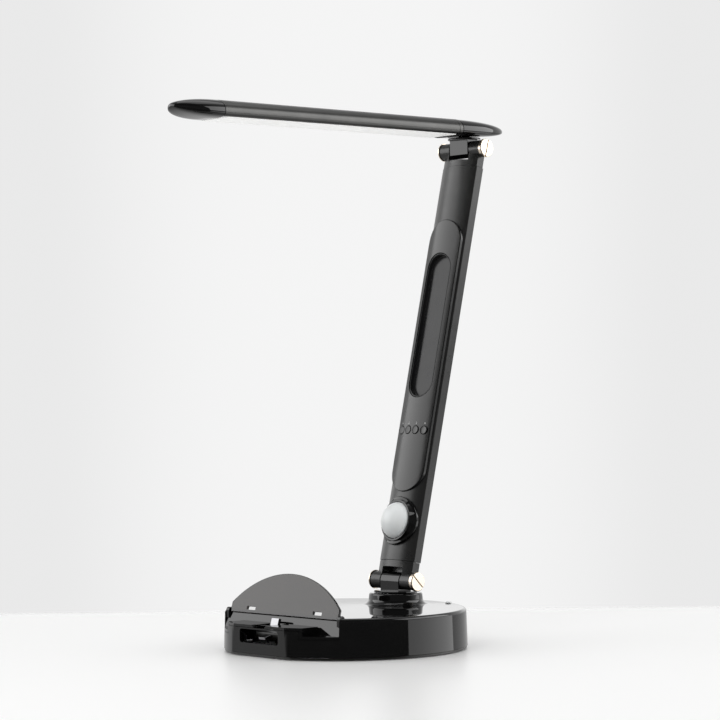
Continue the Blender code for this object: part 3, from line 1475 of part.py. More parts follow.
def build_head():
    """The long profile with its two pointed caps, and the light inside it."""
    half_gap = GAP / 2
    front = HEAD_FRONT_SEAM + half_gap
    rear = HEAD_REAR_SEAM - half_gap
    profile = prism("profile", HEAD, head_section(1.0, 0.0, belt_height()), "Y", front, rear)
    hollow = head_section(1.0, HEAD_WALL, belt_height())
    cut(profile, prism("profile_inside", HEAD, hollow, "Y", front - OVERRUN, rear + OVERRUN))
    mouth = LIGHT_HALF + GAP
    cut(
        profile,
        block(
            "light_mouth",
            HEAD,
            (-mouth, LIGHT_FRONT - GAP, HEAD_UNDERSIDE - OVERRUN),
            (mouth, LIGHT_REAR + GAP, belt_height()),
        ),
    )
    rib_bottom = LED_BOARD_BOTTOM + LED_BOARD_THICK + GAP
    rib_front = front + CAP_TONGUE_LENGTH + 2 * GAP
    rib_rear = rear - CAP_TONGUE_LENGTH - 2 * GAP
    rib_top = HEAD_UNDERSIDE + HEAD_THICK - HEAD_WALL / 2
    join(profile, block("rib", HEAD, (-RIB_HALF, rib_front, rib_bottom), (RIB_HALF, rib_rear, rib_top)))
    finish(profile, "head_profile", BLACK_SATIN)

    caps = (
        ("head_front_cap", HEAD_FRONT_SEAM - half_gap, HEAD_FRONT, FRONT_TIP_RISE, 1),
        ("head_rear_cap", HEAD_REAR_SEAM + half_gap, HEAD_REAR, REAR_TIP_RISE, -1),
    )
    for name, seam, end, rise, towards in caps:
        cap = cap_loft(name, seam, end, rise, 0.0)
        join(cap, cap_tongue("tongue", seam, towards))
        cut(cap, cap_loft("cap_inside", seam, end, rise, CAP_WALL))
        cut(cap, tongue_core("tongue_inside", seam, towards))
        if towards < 0:
            hole = rod(
                "head_shaft_hole",
                HEAD,
                "Z",
                (0.0, 0.0, 0.0),
                HEAD_SHAFT_RADIUS + GAP,
                0.0,
                HEAD_UNDERSIDE + HEAD_BELT,
            )
            cut(cap, hole)
        finish(cap, name, BLACK_GLOSS)

    low = HEAD_UNDERSIDE + LIGHT_SINK
    light = block(
        "light", HEAD, (-LIGHT_HALF, LIGHT_FRONT, low), (LIGHT_HALF, LIGHT_REAR, low + LIGHT_THICK)
    )
    finish(light, "diffuser", MILK)
    board_front = rib_front + LED_BOARD_MARGIN
    board_rear = rib_rear - LED_BOARD_MARGIN
    board = block(
        "led_board",
        HEAD,
        (-LED_BOARD_HALF, board_front, LED_BOARD_BOTTOM),
        (LED_BOARD_HALF, board_rear, LED_BOARD_BOTTOM + LED_BOARD_THICK),
    )
    finish(board, "led_board", BOARD_WHITE)
    pitch = (board_rear - board_front) / LED_COUNT
    top = LED_BOARD_BOTTOM + LED_BOARD_THICK / 2
    for i in range(LED_COUNT):
        middle = board_front + (i + 0.5) * pitch
        led = block(
            "led",
            HEAD,
            (-LED_SIZE / 2, middle - LED_SIZE / 2, LED_BOARD_BOTTOM - LED_HEIGHT),
            (LED_SIZE / 2, middle + LED_SIZE / 2, top),
        )
        join(board, led)


def build_head_knuckle():
    """The disc, neck and middle knuckle under the head, and the nut that holds them."""
    disc_top = HEAD_UNDERSIDE - GAP
    disc_low = disc_top - HEAD_DISC_THICK
    nut_low = HEAD_UNDERSIDE + CAP_WALL + 2 * GAP
    nut_top = nut_low + HEAD_NUT_THICK
    knuckle = rod("head_disc", TILT, "Z", (0.0, 0.0, 0.0), HEAD_DISC_RADIUS, disc_low, disc_top)
    join(
        knuckle,
        block(
            "head_neck",
            TILT,
            (-KNUCKLE_HALF, -KNUCKLE_RADIUS + FACE_OFFSET, -HEAD_NECK_DROP),
            (KNUCKLE_HALF, HEAD_NECK_BACK, disc_low + HEAD_DISC_THICK / 2),
        ),
        rod("head_barrel", TILT, "X", (0.0, 0.0, 0.0), KNUCKLE_RADIUS, -KNUCKLE_HALF, KNUCKLE_HALF),
        rod("head_shaft", TILT, "Z", (0.0, 0.0, 0.0), HEAD_SHAFT_RADIUS, disc_low, nut_top + TURN_THICK),
    )
    cut(knuckle, knuckle_bore(TILT))
    finish(knuckle, "head_knuckle", BLACK_GLOSS)
    nut = ring_solid("head_nut", TILT, HEAD_NUT_RADIUS, HEAD_SHAFT_RADIUS + GAP, nut_low, nut_top)
    finish(nut, "head_swivel_nut", STEEL)


def main():
    """Builds the lamp from the base up."""
    build_cover()
    build_base_inside()
    build_tray()
    build_backrest()
    build_connector()
    build_turntable()
    hinge_bolt("lower_hinge", ARM, LOWER_SLOT_TURN)
    build_fork("arm_lower_fork", False)
    build_fork("arm_upper_fork", True)
    build_arm_shells()
    build_controls()
    build_sensor()
    hinge_bolt("upper_hinge", ARM_TOP, UPPER_SLOT_TURN)
    build_head_knuckle()
    build_head()


clear_scene()
PARTS = new_collection("led_desk_lamp", False)
CUTTERS = new_collection("cutters_and_blanks", True)
BASE = frame_at("base_frame", (0.0, 0.0, 0.0), 0.0)
REST = frame_at("backrest_hinge", (0.0, DOCK_HINGE_Y, DOCK_HINGE_Z), -DOCK_LEAN, BASE)
DRUM = frame_at("connector_axis", (0.0, DRUM_Y, DRUM_Z), -DOCK_LEAN, BASE)
SWIVEL = frame_at("swivel_axis", LOWER_AXIS, 0.0, BASE)
ARM = frame_at("arm_hinge", (0.0, 0.0, 0.0), -ARM_LEAN, SWIVEL)
ARM_TOP = frame_at("arm_top", (0.0, 0.0, ARM_LENGTH), 0.0, ARM)
TILT = frame_at("head_hinge", (0.0, 0.0, 0.0), ARM_LEAN + HEAD_PITCH, ARM_TOP)
HEAD = frame_at("head_swivel", (0.0, 0.0, 0.0), 0.0, TILT)
main()
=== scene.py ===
"""The looks of the desk lamp with a device dock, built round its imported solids.

The frame is +Z up with the origin under the middle of the round base, and the dock faces -Y.
Lengths are in metres and angles in degrees.
"""

import logging
import math
from dataclasses import dataclass
from enum import Enum

import bmesh
import bpy
import numpy as np
from mathutils import Matrix


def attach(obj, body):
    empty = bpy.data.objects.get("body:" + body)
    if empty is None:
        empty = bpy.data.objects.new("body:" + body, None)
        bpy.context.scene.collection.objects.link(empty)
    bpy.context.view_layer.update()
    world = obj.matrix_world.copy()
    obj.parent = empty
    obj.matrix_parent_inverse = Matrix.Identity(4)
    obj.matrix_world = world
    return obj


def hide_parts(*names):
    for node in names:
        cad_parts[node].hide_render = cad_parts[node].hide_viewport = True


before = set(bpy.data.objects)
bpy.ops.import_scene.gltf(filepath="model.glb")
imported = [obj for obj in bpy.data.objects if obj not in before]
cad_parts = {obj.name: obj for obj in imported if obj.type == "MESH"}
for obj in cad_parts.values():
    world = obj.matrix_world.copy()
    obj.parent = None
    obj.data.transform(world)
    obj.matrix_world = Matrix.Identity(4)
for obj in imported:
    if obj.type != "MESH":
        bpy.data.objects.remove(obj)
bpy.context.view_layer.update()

LOG = logging.getLogger("desk_lamp")
Array = np.ndarray
Object = bpy.types.Object
Socket = bpy.types.NodeSocket
Pair = tuple[float, float]
Point = tuple[float, float, float]
Colour = tuple[float, float, float]

ORIGIN: Point = (0.0, 0.0, 0.0)
EVEN: Point = (1.0, 1.0, 1.0)
UP: Point = (0.0, 0.0, 1.0)
WELD = 1e-6
FLAT_WITHIN = 0.5
SHARP_ANGLE = 32.0
BEVEL_SEGMENTS = 2
FEW_STEPS = 32
GAP = 0.0003
OVERRUN = 0.004
THROUGH = 0.02
BOSS_Y = 0.0524
ARM_HINGE: Point = (0.0, BOSS_Y, 0.0476)
ARM_LENGTH = 0.34385
ARM_LEAN = 13.61
HEAD_PITCH = 1.04
DOCK_HINGE: Point = (0.0, -0.0615, 0.0294)
DOCK_LEAN = 17.0
PLUG_AXIS: Point = (0.0, -0.0720, 0.0162)
LENS_AT: Point = (0.029, 0.080, 0.0)


@dataclass(frozen=True)
class Place:
    """A local frame of the lamp: its origin, and its turn about X in degrees."""

    origin: Point = ORIGIN
    turn: float = 0.0

    def points(self, local: Array) -> Array:
        """Turns local points about X, then moves them to the origin.

        Args:
            local: points with x, y and z in their last axis.

        Returns:
            The same points in the lamp's own frame.
        """
        angle = math.radians(self.turn)
        c, s = math.cos(angle), math.sin(angle)
        x, y, z = local[..., 0], local[..., 1], local[..., 2]
        return np.stack([x, c * y - s * z, s * y + c * z], axis=-1) + np.array(self.origin)


def arm_top() -> Point:
    """The upper hinge's axis: the lower one's, moved by the arm's length along its lean."""
    lean = math.radians(ARM_LEAN)
    x, y, z = ARM_HINGE
    return (x, y + ARM_LENGTH * math.sin(lean), z + ARM_LENGTH * math.cos(lean))


BASE = Place()
REST = Place(DOCK_HINGE, -DOCK_LEAN)
ARM = Place(ARM_HINGE, -ARM_LEAN)
ARM_TOP = Place(arm_top(), -ARM_LEAN)
HEAD = Place(arm_top(), HEAD_PITCH)


class Axis(Enum):
    """The way along which an outline is drawn out, or round which a profile is turned."""

    X = "x"
    Y = "y"
    Z = "z"
    FRONT = "front"

    def lift(self, across: Array, up: Array, along: Array) -> Array:
        """Stacks two outline coordinates and the one along the axis as x, y and z."""
        if self is Axis.X:
            parts = [along, across, up]
        elif self is Axis.Y:
            parts = [across, along, up]
        elif self is Axis.FRONT:
            parts = [across, -along, up]
        else:
            parts = [across, up, along]
        return np.stack(np.broadcast_arrays(*parts), axis=-1)


def arc(centre: Pair, radius: float, first: float, last: float, steps: int = 8) -> Array:
    """Points on a circle: the centre plus the radius times (cos a, sin a), a in equal steps.

    Args:
        centre: the circle's centre.
        radius: its radius.
        first: the angle of the first point.
        last: the angle of the last point.
        steps: the steps between them.

    Returns:
        (steps + 1, 2) points.
    """
    angle = np.radians(np.linspace(first, last, steps + 1))
    return np.array(centre) + radius * np.stack([np.cos(angle), np.sin(angle)], axis=-1)


def rounded(corners: Array, radius: float, steps: int = 6) -> Array:
    """An outline whose corners are arcs that touch both of their edges.

    The arc's centre lies on the corner's bisector at radius / sin(half its angle), and its
    points turn evenly from one touching point to the other.

    Args:
        corners: the outline's corners in order.
        radius: the arcs' radius.
        steps: edges in each arc.

    Returns:
        The rounded outline's points.
    """
    corners = np.asarray(corners, float)
    back = np.roll(corners, 1, axis=0) - corners
    ahead = np.roll(corners, -1, axis=0) - corners
    back /= np.linalg.norm(back, axis=1, keepdims=True)
    ahead /= np.linalg.norm(ahead, axis=1, keepdims=True)
    half = np.arccos(np.clip((back * ahead).sum(1), -1, 1)) / 2
    middle = (back + ahead) / np.linalg.norm(back + ahead, axis=1, keepdims=True)
    centre = corners + middle * (radius / np.sin(half))[:, None]
    reach = (radius / np.tan(half))[:, None]
    first, last = corners + back * reach - centre, corners + ahead * reach - centre
    sweep = (math.pi - 2 * half)[:, None, None]
    share = np.linspace(0, 1, steps + 1)[None, :, None]
    swung = np.sin((1 - share) * sweep) * first[:, None] + np.sin(share * sweep) * last[:, None]
    return (centre[:, None] + swung / np.sin(sweep)).reshape(-1, 2)


def box_outline(half: float, low: float, high: float, corner: float) -> Array:
    """A rectangle, symmetric across, with round corners."""
    return rounded(np.array([(half, low), (half, high), (-half, high), (-half, low)]), corner)


def stadium(half: float, start: float, end: float, steps: int = 48) -> Array:
    """A slot: a half circle at each end of a straight run along the second coordinate."""
    top = arc((0.0, end - half), half, 0.0, 180.0, steps)
    foot = arc((0.0, start + half), half, 180.0, 360.0, steps)
    sides = np.linspace(0, 1, steps + 2)[1:-1, None]
    left = top[-1] + (foot[0] - top[-1]) * sides
    right = foot[-1] + (top[0] - foot[-1]) * sides
    return np.concatenate([top, left, foot, right])


def inset(outline: Array, distance: Array) -> Array:
    """The outline moved inwards by each distance, along the mitre of its two edges' normals.

    Args:
        outline: (N, 2) points, counterclockwise.
        distance: (D,) distances.

    Returns:
        (D, N, 2) points.
    """
    edge = np.roll(outline, -1, axis=0) - outline
    normal = np.stack([-edge[:, 1], edge[:, 0]], axis=-1)
    normal /= np.linalg.norm(normal, axis=1, keepdims=True)
    before = np.roll(normal, 1, axis=0)
    mitre = (normal + before) / (1 + (normal * before).sum(1, keepdims=True))
    return outline + np.asarray(distance)[:, None, None] * mitre


def skin(name: str, rings: Array, place: Place, caps: bool = True, loop: bool = False) -> Object:
    """A closed surface over rings of equal count: quads join each ring to the next one.

    Args:
        name: the object's name.
        rings: (R, N, 3) points in the local frame.
        place: the local frame.
        caps: whether a flat face closes each end.
        loop: whether the last ring joins the first instead.

    Returns:
        The welded object, with its faces outwards.
    """
    count, around = rings.shape[:2]
    index = np.arange(count * around).reshape(count, around)
    beside = np.roll(index, -1, axis=1)
    above, above_beside = np.roll(index, -1, axis=0), np.roll(beside, -1, axis=0)
    quads = np.stack([index, beside, above_beside, above], axis=-1)
    faces = (quads if loop else quads[:-1]).reshape(-1, 4).tolist()
    if caps and not loop:
        faces += [index[0][::-1].tolist(), index[-1].tolist()]
    mesh = bpy.data.meshes.new(name)
    mesh.from_pydata(place.points(rings).reshape(-1, 3), [], faces)
    return weld(linked(name, mesh))


def linked(name: str, data: bpy.types.ID) -> Object:
    """A new object with that data, in the scene."""
    obj = bpy.data.objects.new(name, data)
    bpy.context.scene.collection.objects.link(obj)
    return obj


def weld(obj: Object, flatten: bool = False) -> Object:
    """Merges doubles, drops what collapsed and points the faces outwards.

    Args:
        obj: a mesh object.
        flatten: whether triangles in one plane are joined to larger faces.

    Returns:
        The same object.
    """
    shape = bmesh.new()
    shape.from_mesh(obj.data)
    bmesh.ops.remove_doubles(shape, verts=shape.verts, dist=WELD)
    bmesh.ops.dissolve_degenerate(shape, edges=shape.edges, dist=WELD / 10)
    if flatten:
        flat = math.radians(FLAT_WITHIN)
        bmesh.ops.dissolve_limit(shape, angle_limit=flat, verts=shape.verts, edges=shape.edges)
    bmesh.ops.recalc_face_normals(shape, faces=shape.faces)
    shape.to_mesh(obj.data)
    shape.free()
    return obj


def turned(name: str, profile: Array, axis: Axis, place: Place, centre: Point = ORIGIN,
           steps: int = 64) -> Object:
    """A turned surface: at each profile point (r, h) a ring (r cos a, r sin a) at height h.

    Args:
        name: the object's name.
        profile: (P, 2) radii and heights along the axis.
        axis: the axis that it turns about.
        place: the local frame.
        centre: the point in that frame that the axis goes through.
        steps: points in each ring.

    Returns:
        The object.
    """
    profile = np.asarray(profile, float)
    angle = np.linspace(0, 2 * math.pi, steps, endpoint=False)
    across = profile[:, :1] * np.cos(angle)
    up = profile[:, :1] * np.sin(angle)
    return skin(name, axis.lift(across, up, profile[:, 1:]) + np.array(centre), place)


def rolled(start: float, end: float, roll: float, steps: int = 4) -> tuple[Array, Array]:
    """Heights and insets of a bar with rounded ends.

    At angle a the height is roll * (1 - cos a) from an end, and the inset roll * (1 - sin a).
    """
    angle = np.linspace(0, math.pi / 2, steps + 1)
    rise, shrink = roll * (1 - np.cos(angle)), roll * (1 - np.sin(angle))
    return np.concatenate([start + rise, (end - rise)[::-1]]), np.concatenate([shrink, shrink[::-1]])


def bar(name: str, outline: Array, axis: Axis, start: float, end: float, place: Place,
        roll: float = 0.0) -> Object:
    """An outline drawn out along an axis, with its two end edges rounded by the roll."""
    if roll:
        along, shrink = rolled(start, end, roll)
        flat = inset(outline, shrink)
    else:
        along = np.array([start, end])
        flat = np.stack([outline, outline])
    return skin(name, axis.lift(flat[..., 0], flat[..., 1], along[:, None]), place)


def block(name: str, low: Point, high: Point) -> Object:
    """A plain box between two corners, for cutting the base."""
    outline = np.array([(high[0], low[1]), (high[0], high[1]), (low[0], high[1]), (low[0], low[1])])
    return bar(name, outline, Axis.Z, low[2], high[2], BASE)


def rod(name: str, radius: float, start: float, end: float, axis: Axis, place: Place = BASE,
        centre: Point = ORIGIN, steps: int = 64) -> Object:
    """A round bar along an axis, from start to end beyond its centre point."""
    circle = arc((0.0, 0.0), radius, 0.0, 360.0, steps)[:-1]
    rings = axis.lift(circle[:, 0], circle[:, 1], np.array([[start], [end]]))
    return skin(name, rings + np.array(centre), place)


def settle(obj: Object) -> Object:
    """Puts the evaluated shape in place of the object's mesh and modifiers."""
    bpy.context.view_layer.update()
    graph = bpy.context.evaluated_depsgraph_get()
    mesh = bpy.data.meshes.new_from_object(obj.evaluated_get(graph))
    obj.modifiers.clear()
    obj.data = mesh
    return obj


def combine(obj: Object, tools: tuple[Object, ...], operation: str) -> Object:
    """Applies one exact Boolean for each tool, and deletes the tools."""
    for tool in tools:
        step = obj.modifiers.new(tool.name, "BOOLEAN")
        step.operation = operation
        step.solver = "EXACT"
        step.object = tool
    settle(obj)
    for tool in tools:
        bpy.data.objects.remove(tool)
    return weld(obj)


def carve(obj: Object, *tools: Object) -> Object:
    """Takes the tools' solids away from the object."""
    return combine(obj, tools, "DIFFERENCE")


def fuse(obj: Object, *tools: Object) -> Object:
    """Joins the tools' solids onto the object."""
    return combine(obj, tools, "UNION")


def soften(obj: Object, edge: float = 0.0) -> Object:
    """Shades the object smooth, and rounds its sharp edges where an edge width is given."""
    sharp = math.radians(SHARP_ANGLE)
    obj.data.shade_smooth()
    if edge:
        bevel = obj.modifiers.new("edges", "BEVEL")
        bevel.width = edge
        bevel.segments = BEVEL_SEGMENTS
        bevel.limit_method = "ANGLE"
        bevel.angle_limit = sharp
        settle(obj)
        obj.data.shade_smooth()
    obj.data.set_sharp_from_angle(angle=sharp)
    normals = obj.modifiers.new("normals", "WEIGHTED_NORMAL")
    normals.keep_sharp = True
    return settle(obj)


def refined(name: str, node: str, edge: float) -> Object:
    """A copy of a solid of the frame, with its flat faces whole again and its edges rounded."""
    obj = linked(name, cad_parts[node].data.copy())
    obj.data.materials.clear()
    return soften(weld(obj, flatten=True), edge)


class Wiring:
    """The nodes of a material or a world, with short calls for the ones that are used."""

    def __init__(self, tree: bpy.types.NodeTree) -> None:
        """Takes the tree that the nodes go into."""
        self.tree = tree

    def add(self, kind: str, **values: object) -> bpy.types.Node:
        """Adds a node and sets its properties."""
        node = self.tree.nodes.new(kind)
        for key, value in values.items():
            setattr(node, key, value)
        return node

    def link(self, value: object, socket: Socket) -> None:
        """Feeds a socket with another socket or with a plain value."""
        if isinstance(value, Socket):
            self.tree.links.new(value, socket)
        else:
            socket.default_value = value

    def spread(self, value: Socket, low: float, high: float, start: float = 0.3, end: float = 0.7,
               smooth: bool = False) -> Socket:
        """Maps a value from start..end onto low..high, in a straight or a smooth curve."""
        node = self.add("ShaderNodeMapRange", interpolation_type="SMOOTHSTEP" if smooth else "LINEAR")
        for socket, number in (("From Min", start), ("From Max", end), ("To Min", low), ("To Max", high)):
            node.inputs[socket].default_value = number
        self.link(value, node.inputs["Value"])
        return node.outputs["Result"]

    def joined(self, operation: str, first: Socket, second: Socket) -> Socket:
        """Joins two values by that operation."""
        node = self.add("ShaderNodeMath", operation=operation)
        self.link(first, node.inputs[0])
        self.link(second, node.inputs[1])
        return node.outputs["Value"]

    def along(self, vector: Socket, way: Array) -> Socket:
        """How far a vector reaches along a way."""
        node = self.add("ShaderNodeVectorMath", operation="DOT_PRODUCT")
        self.link(vector, node.inputs[0])
        node.inputs[1].default_value = way
        return node.outputs["Value"]

    def between(self, factor: Socket, first: object, second: object) -> Socket:
        """A value between two others."""
        node = self.add("ShaderNodeMix", data_type="FLOAT")
        for name, value in (("Factor", factor), ("A", first), ("B", second)):
            self.link(value, node.inputs[name])
        return node.outputs["Result"]


class Surface(Wiring):
    """The nodes of one material round its Principled shader."""

    def __init__(self, name: str) -> None:
        """Starts a node material."""
        self.material = bpy.data.materials.new(name)
        self.material.use_nodes = True
        super().__init__(self.material.node_tree)
        self.shader = self.tree.nodes["Principled BSDF"]

    def place(self, centre: Point = ORIGIN, turn: float = 0.0, scale: Point = EVEN) -> Socket:
        """Object coordinates, turned about X round a centre and scaled."""
        coordinates = self.add("ShaderNodeTexCoord")
        mapping = self.add("ShaderNodeMapping", vector_type="TEXTURE")
        mapping.inputs["Location"].default_value = centre
        mapping.inputs["Rotation"].default_value = (math.radians(turn), 0.0, 0.0)
        mapping.inputs["Scale"].default_value = tuple(1 / value for value in scale)
        self.link(coordinates.outputs["Object"], mapping.inputs["Vector"])
        return mapping.outputs["Vector"]

    def noise(self, vector: Socket, scale: float, detail: float = 3.0) -> Socket:
        """Smooth noise between 0 and 1."""
        node = self.add("ShaderNodeTexNoise")
        node.inputs["Scale"].default_value = scale
        node.inputs["Detail"].default_value = detail
        self.link(vector, node.inputs["Vector"])
        return node.outputs["Fac"]

    def blend(self, factor: Socket, first: Colour, second: Colour) -> Socket:
        """A colour between two others."""
        node = self.add("ShaderNodeMix", data_type="RGBA")
        self.link(factor, node.inputs["Factor"])
        node.inputs["A"].default_value = (*first, 1.0)
        node.inputs["B"].default_value = (*second, 1.0)
        return node.outputs["Result"]

    def bump(self, height: Socket, depth: float) -> Socket:
        """A normal that follows a height of that depth in metres."""
        node = self.add("ShaderNodeBump")
        node.inputs["Strength"].default_value = 1.0
        node.inputs["Distance"].default_value = depth
        self.link(height, node.inputs["Height"])
        return node.outputs["Normal"]


class Relief(Enum):
    """The fine relief that the making of a surface leaves on it."""

    GRAIN = "grain"
    BRUSHED = "brushed"
    TURNED = "turned"
    RIBS = "ribs"
    CELLS = "cells"
    TRACKS = "tracks"


SMUDGE_PITCH = 45.0
SMUDGE_DETAIL = 4.0
HANDLED_PITCH = 2.3 * SMUDGE_PITCH
HANDLED_DETAIL = 5.0
HANDLED_SHIFT: Point = (0.013, 0.027, 0.041)
BRUSH_DETAIL = 4.0
BRUSH_STRETCH: Point = (1.0, 0.012, 1.0)
RING_WAVER = 0.6
SCATTER_SHARES: Colour = (1.0, 0.95, 0.9)
SCATTER_DEPTH = 0.0015


@dataclass(frozen=True)
class Finish:
    """One finish of the lamp: its colour, its gloss, the relief of its making and any painted glow."""

    name: str
    slot: str
    colour: Colour
    shade: Colour
    roughness: Pair
    relief: Relief = Relief.GRAIN
    pitch: float = 3000.0
    depth: float = 2e-6
    metallic: float = 0.0
    specular: float = 0.5
    ior: float = 1.5
    transmission: float = 0.0
    subsurface: float = 0.0
    # glow: emission that paints light onto a surface with no lit lamp behind it
    glow: float = 0.0

    def height(self, surface: Surface, centre: Point, turn: float) -> Socket:
        """The height pattern of this finish's relief.

        Args:
            surface: the material's nodes.
            centre: the piece's centre, for turned rings.
            turn: the piece's turn about X in degrees.

        Returns:
            A socket with values round 0 to 1.
        """
        if self.relief is Relief.GRAIN:
            return surface.noise(surface.place(), self.pitch)
        if self.relief is Relief.BRUSHED:
            stretched = surface.place(centre, turn, BRUSH_STRETCH)
            return surface.noise(stretched, self.pitch, BRUSH_DETAIL)
        if self.relief is Relief.TURNED:
            node = surface.add("ShaderNodeTexWave", wave_type="RINGS", rings_direction="X")
            node.inputs["Distortion"].default_value = RING_WAVER
        elif self.relief is Relief.RIBS:
            node = surface.add("ShaderNodeTexWave", wave_type="BANDS", bands_direction="Y")
        elif self.relief is Relief.CELLS:
            node = surface.add("ShaderNodeTexVoronoi", feature="DISTANCE_TO_EDGE")
        else:
            node = surface.add("ShaderNodeTexVoronoi", feature="F1", distance="CHEBYCHEV")
        node.inputs["Scale"].default_value = self.pitch
        surface.link(surface.place(centre, turn), node.inputs["Vector"])
        waves = self.relief in (Relief.TURNED, Relief.RIBS)
        return node.outputs["Fac" if waves else "Distance"]

    def material(self, centre: Point = ORIGIN, turn: float = 0.0) -> bpy.types.Material:
        """Builds the finish's node material.

        Args:
            centre: the point that turned rings go round.
            turn: the turn about X of a pattern that follows a leaning piece.

        Returns:
            The material.
        """
        surface = Surface(self.name)
        smudges = surface.spread(surface.noise(surface.place(), SMUDGE_PITCH, SMUDGE_DETAIL), 0, 1)
        handled = surface.noise(surface.place(HANDLED_SHIFT), HANDLED_PITCH, HANDLED_DETAIL)
        for name, value in (
            ("Base Color", surface.blend(smudges, self.colour, self.shade)),
            ("Roughness", surface.spread(handled, *self.roughness)),
            ("Normal", surface.bump(self.height(surface, centre, turn), self.depth)),
            ("Metallic", self.metallic),
            ("IOR", self.ior),
            ("Specular IOR Level", self.specular),
            ("Transmission Weight", self.transmission),
            ("Subsurface Weight", self.subsurface),
            ("Subsurface Radius", SCATTER_SHARES),
            ("Subsurface Scale", SCATTER_DEPTH),
            ("Emission Color", (*self.colour, 1.0)),
            ("Emission Strength", self.glow),
        ):
            surface.link(value, surface.shader.inputs[name])
        return surface.material


GLOSS = Finish("gloss_black_plastic", "gloss_black", (0.0024, 0.0024, 0.0025), (0.0036, 0.0036, 0.0036),
               (0.02, 0.05), pitch=70.0, depth=6e-6)
LACQUER = Finish("lacquered_black_panel", "gloss_black", (0.005, 0.005, 0.005), (0.007, 0.007, 0.0068),
                 (0.17, 0.22), pitch=900.0, depth=2e-6)
SATIN = Finish("satin_black_plastic", "satin_black", (0.008, 0.008, 0.0078), (0.011, 0.011, 0.0105),
               (0.27, 0.33), pitch=5200.0, depth=9e-6)
ANODISED = Finish("anodised_black_profile", "black_aluminium", (0.078, 0.078, 0.076), (0.090, 0.089, 0.087),
                  (0.30, 0.36), Relief.BRUSHED, 3600.0, 6e-6, metallic=1.0)
SMOKE = Finish("smoked_clear_plastic", "smoked_plastic", (0.014, 0.0102, 0.0082), (0.012, 0.009, 0.0073),
               (0.02, 0.05), pitch=60.0, depth=4e-6, ior=1.49, transmission=1.0)
GOLD = Finish("turned_pale_gold", "pale_gold", (0.84, 0.74, 0.62), (0.78, 0.68, 0.56),
              (0.20, 0.28), Relief.TURNED, 900.0, 2.5e-6, metallic=1.0)
STEEL = Finish("plated_steel", "steel", (0.60, 0.60, 0.61), (0.52, 0.52, 0.53),
               (0.22, 0.34), pitch=2600.0, depth=6e-6, metallic=1.0)
PLUG = Finish("drawn_plug_steel", "plug_steel", (0.30, 0.30, 0.31), (0.26, 0.26, 0.27),
              (0.20, 0.28), Relief.BRUSHED, 5000.0, 3e-6, metallic=1.0)
RUBBER = Finish("matt_black_rubber", "black_rubber", (0.018, 0.018, 0.018), (0.026, 0.026, 0.026),
                (0.70, 0.82), pitch=2400.0, depth=2.5e-5)
MILK = Finish("milky_lens_plastic", "milky_plastic", (0.80, 0.82, 0.82), (0.76, 0.78, 0.78),
              (0.30, 0.38), Relief.CELLS, 420.0, 4e-5, subsurface=0.35)
# The diffuser's glow is painted light: the lamp is off, and the emission only brightens the white strip.
DIFFUSER = Finish("white_diffuser_plastic", "diffuser_white", (0.90, 0.90, 0.89), (0.86, 0.86, 0.85),
                  (0.38, 0.46), Relief.RIBS, 260.0, 1.2e-5, subsurface=0.2, glow=0.26)
WINDOW = Finish("dark_display_window", "dark_window", (0.010, 0.010, 0.011), (0.014, 0.014, 0.014),
                (0.18, 0.26), pitch=1800.0, depth=2e-6, specular=0.28)
GREEN_BOARD = Finish("lacquered_green_board", "green_board", (0.015, 0.11, 0.045), (0.03, 0.17, 0.07),
                     (0.30, 0.42), Relief.TRACKS, 260.0, 3e-5)
WHITE_BOARD = Finish("lacquered_white_board", "white_board", (0.78, 0.78, 0.76), (0.70, 0.70, 0.68),
                     (0.30, 0.42), Relief.TRACKS, 240.0, 3e-5)
PRINT = Finish("white_print", "gloss_black", (0.62, 0.62, 0.61), (0.55, 0.55, 0.54),
               (0.42, 0.52), pitch=4000.0, depth=2e-6)


def dress(obj: Object, body: str, finish: Finish, *nodes: str, centre: Point = ORIGIN,
          turn: float = 0.0) -> Object:
    """Gives a finished piece its material and its body, and hides the solids that it stands for.

    Args:
        obj: the piece.
        body: the moving body that it rides on.
        finish: its finish.
        nodes: the solids that it replaces.
        centre: the centre of a turned or patterned finish.
        turn: the turn about X of such a pattern.

    Returns:
        The piece.
    """
    obj.data.name = obj.name
    obj.data.materials.clear()
    obj.data.materials.append(finish.material(centre, turn))
    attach(obj, body)
    if nodes:
        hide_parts(*nodes)
    LOG.info("%s on %s: %d faces, %s", obj.name, body, len(obj.data.polygons), finish.name)
    return obj


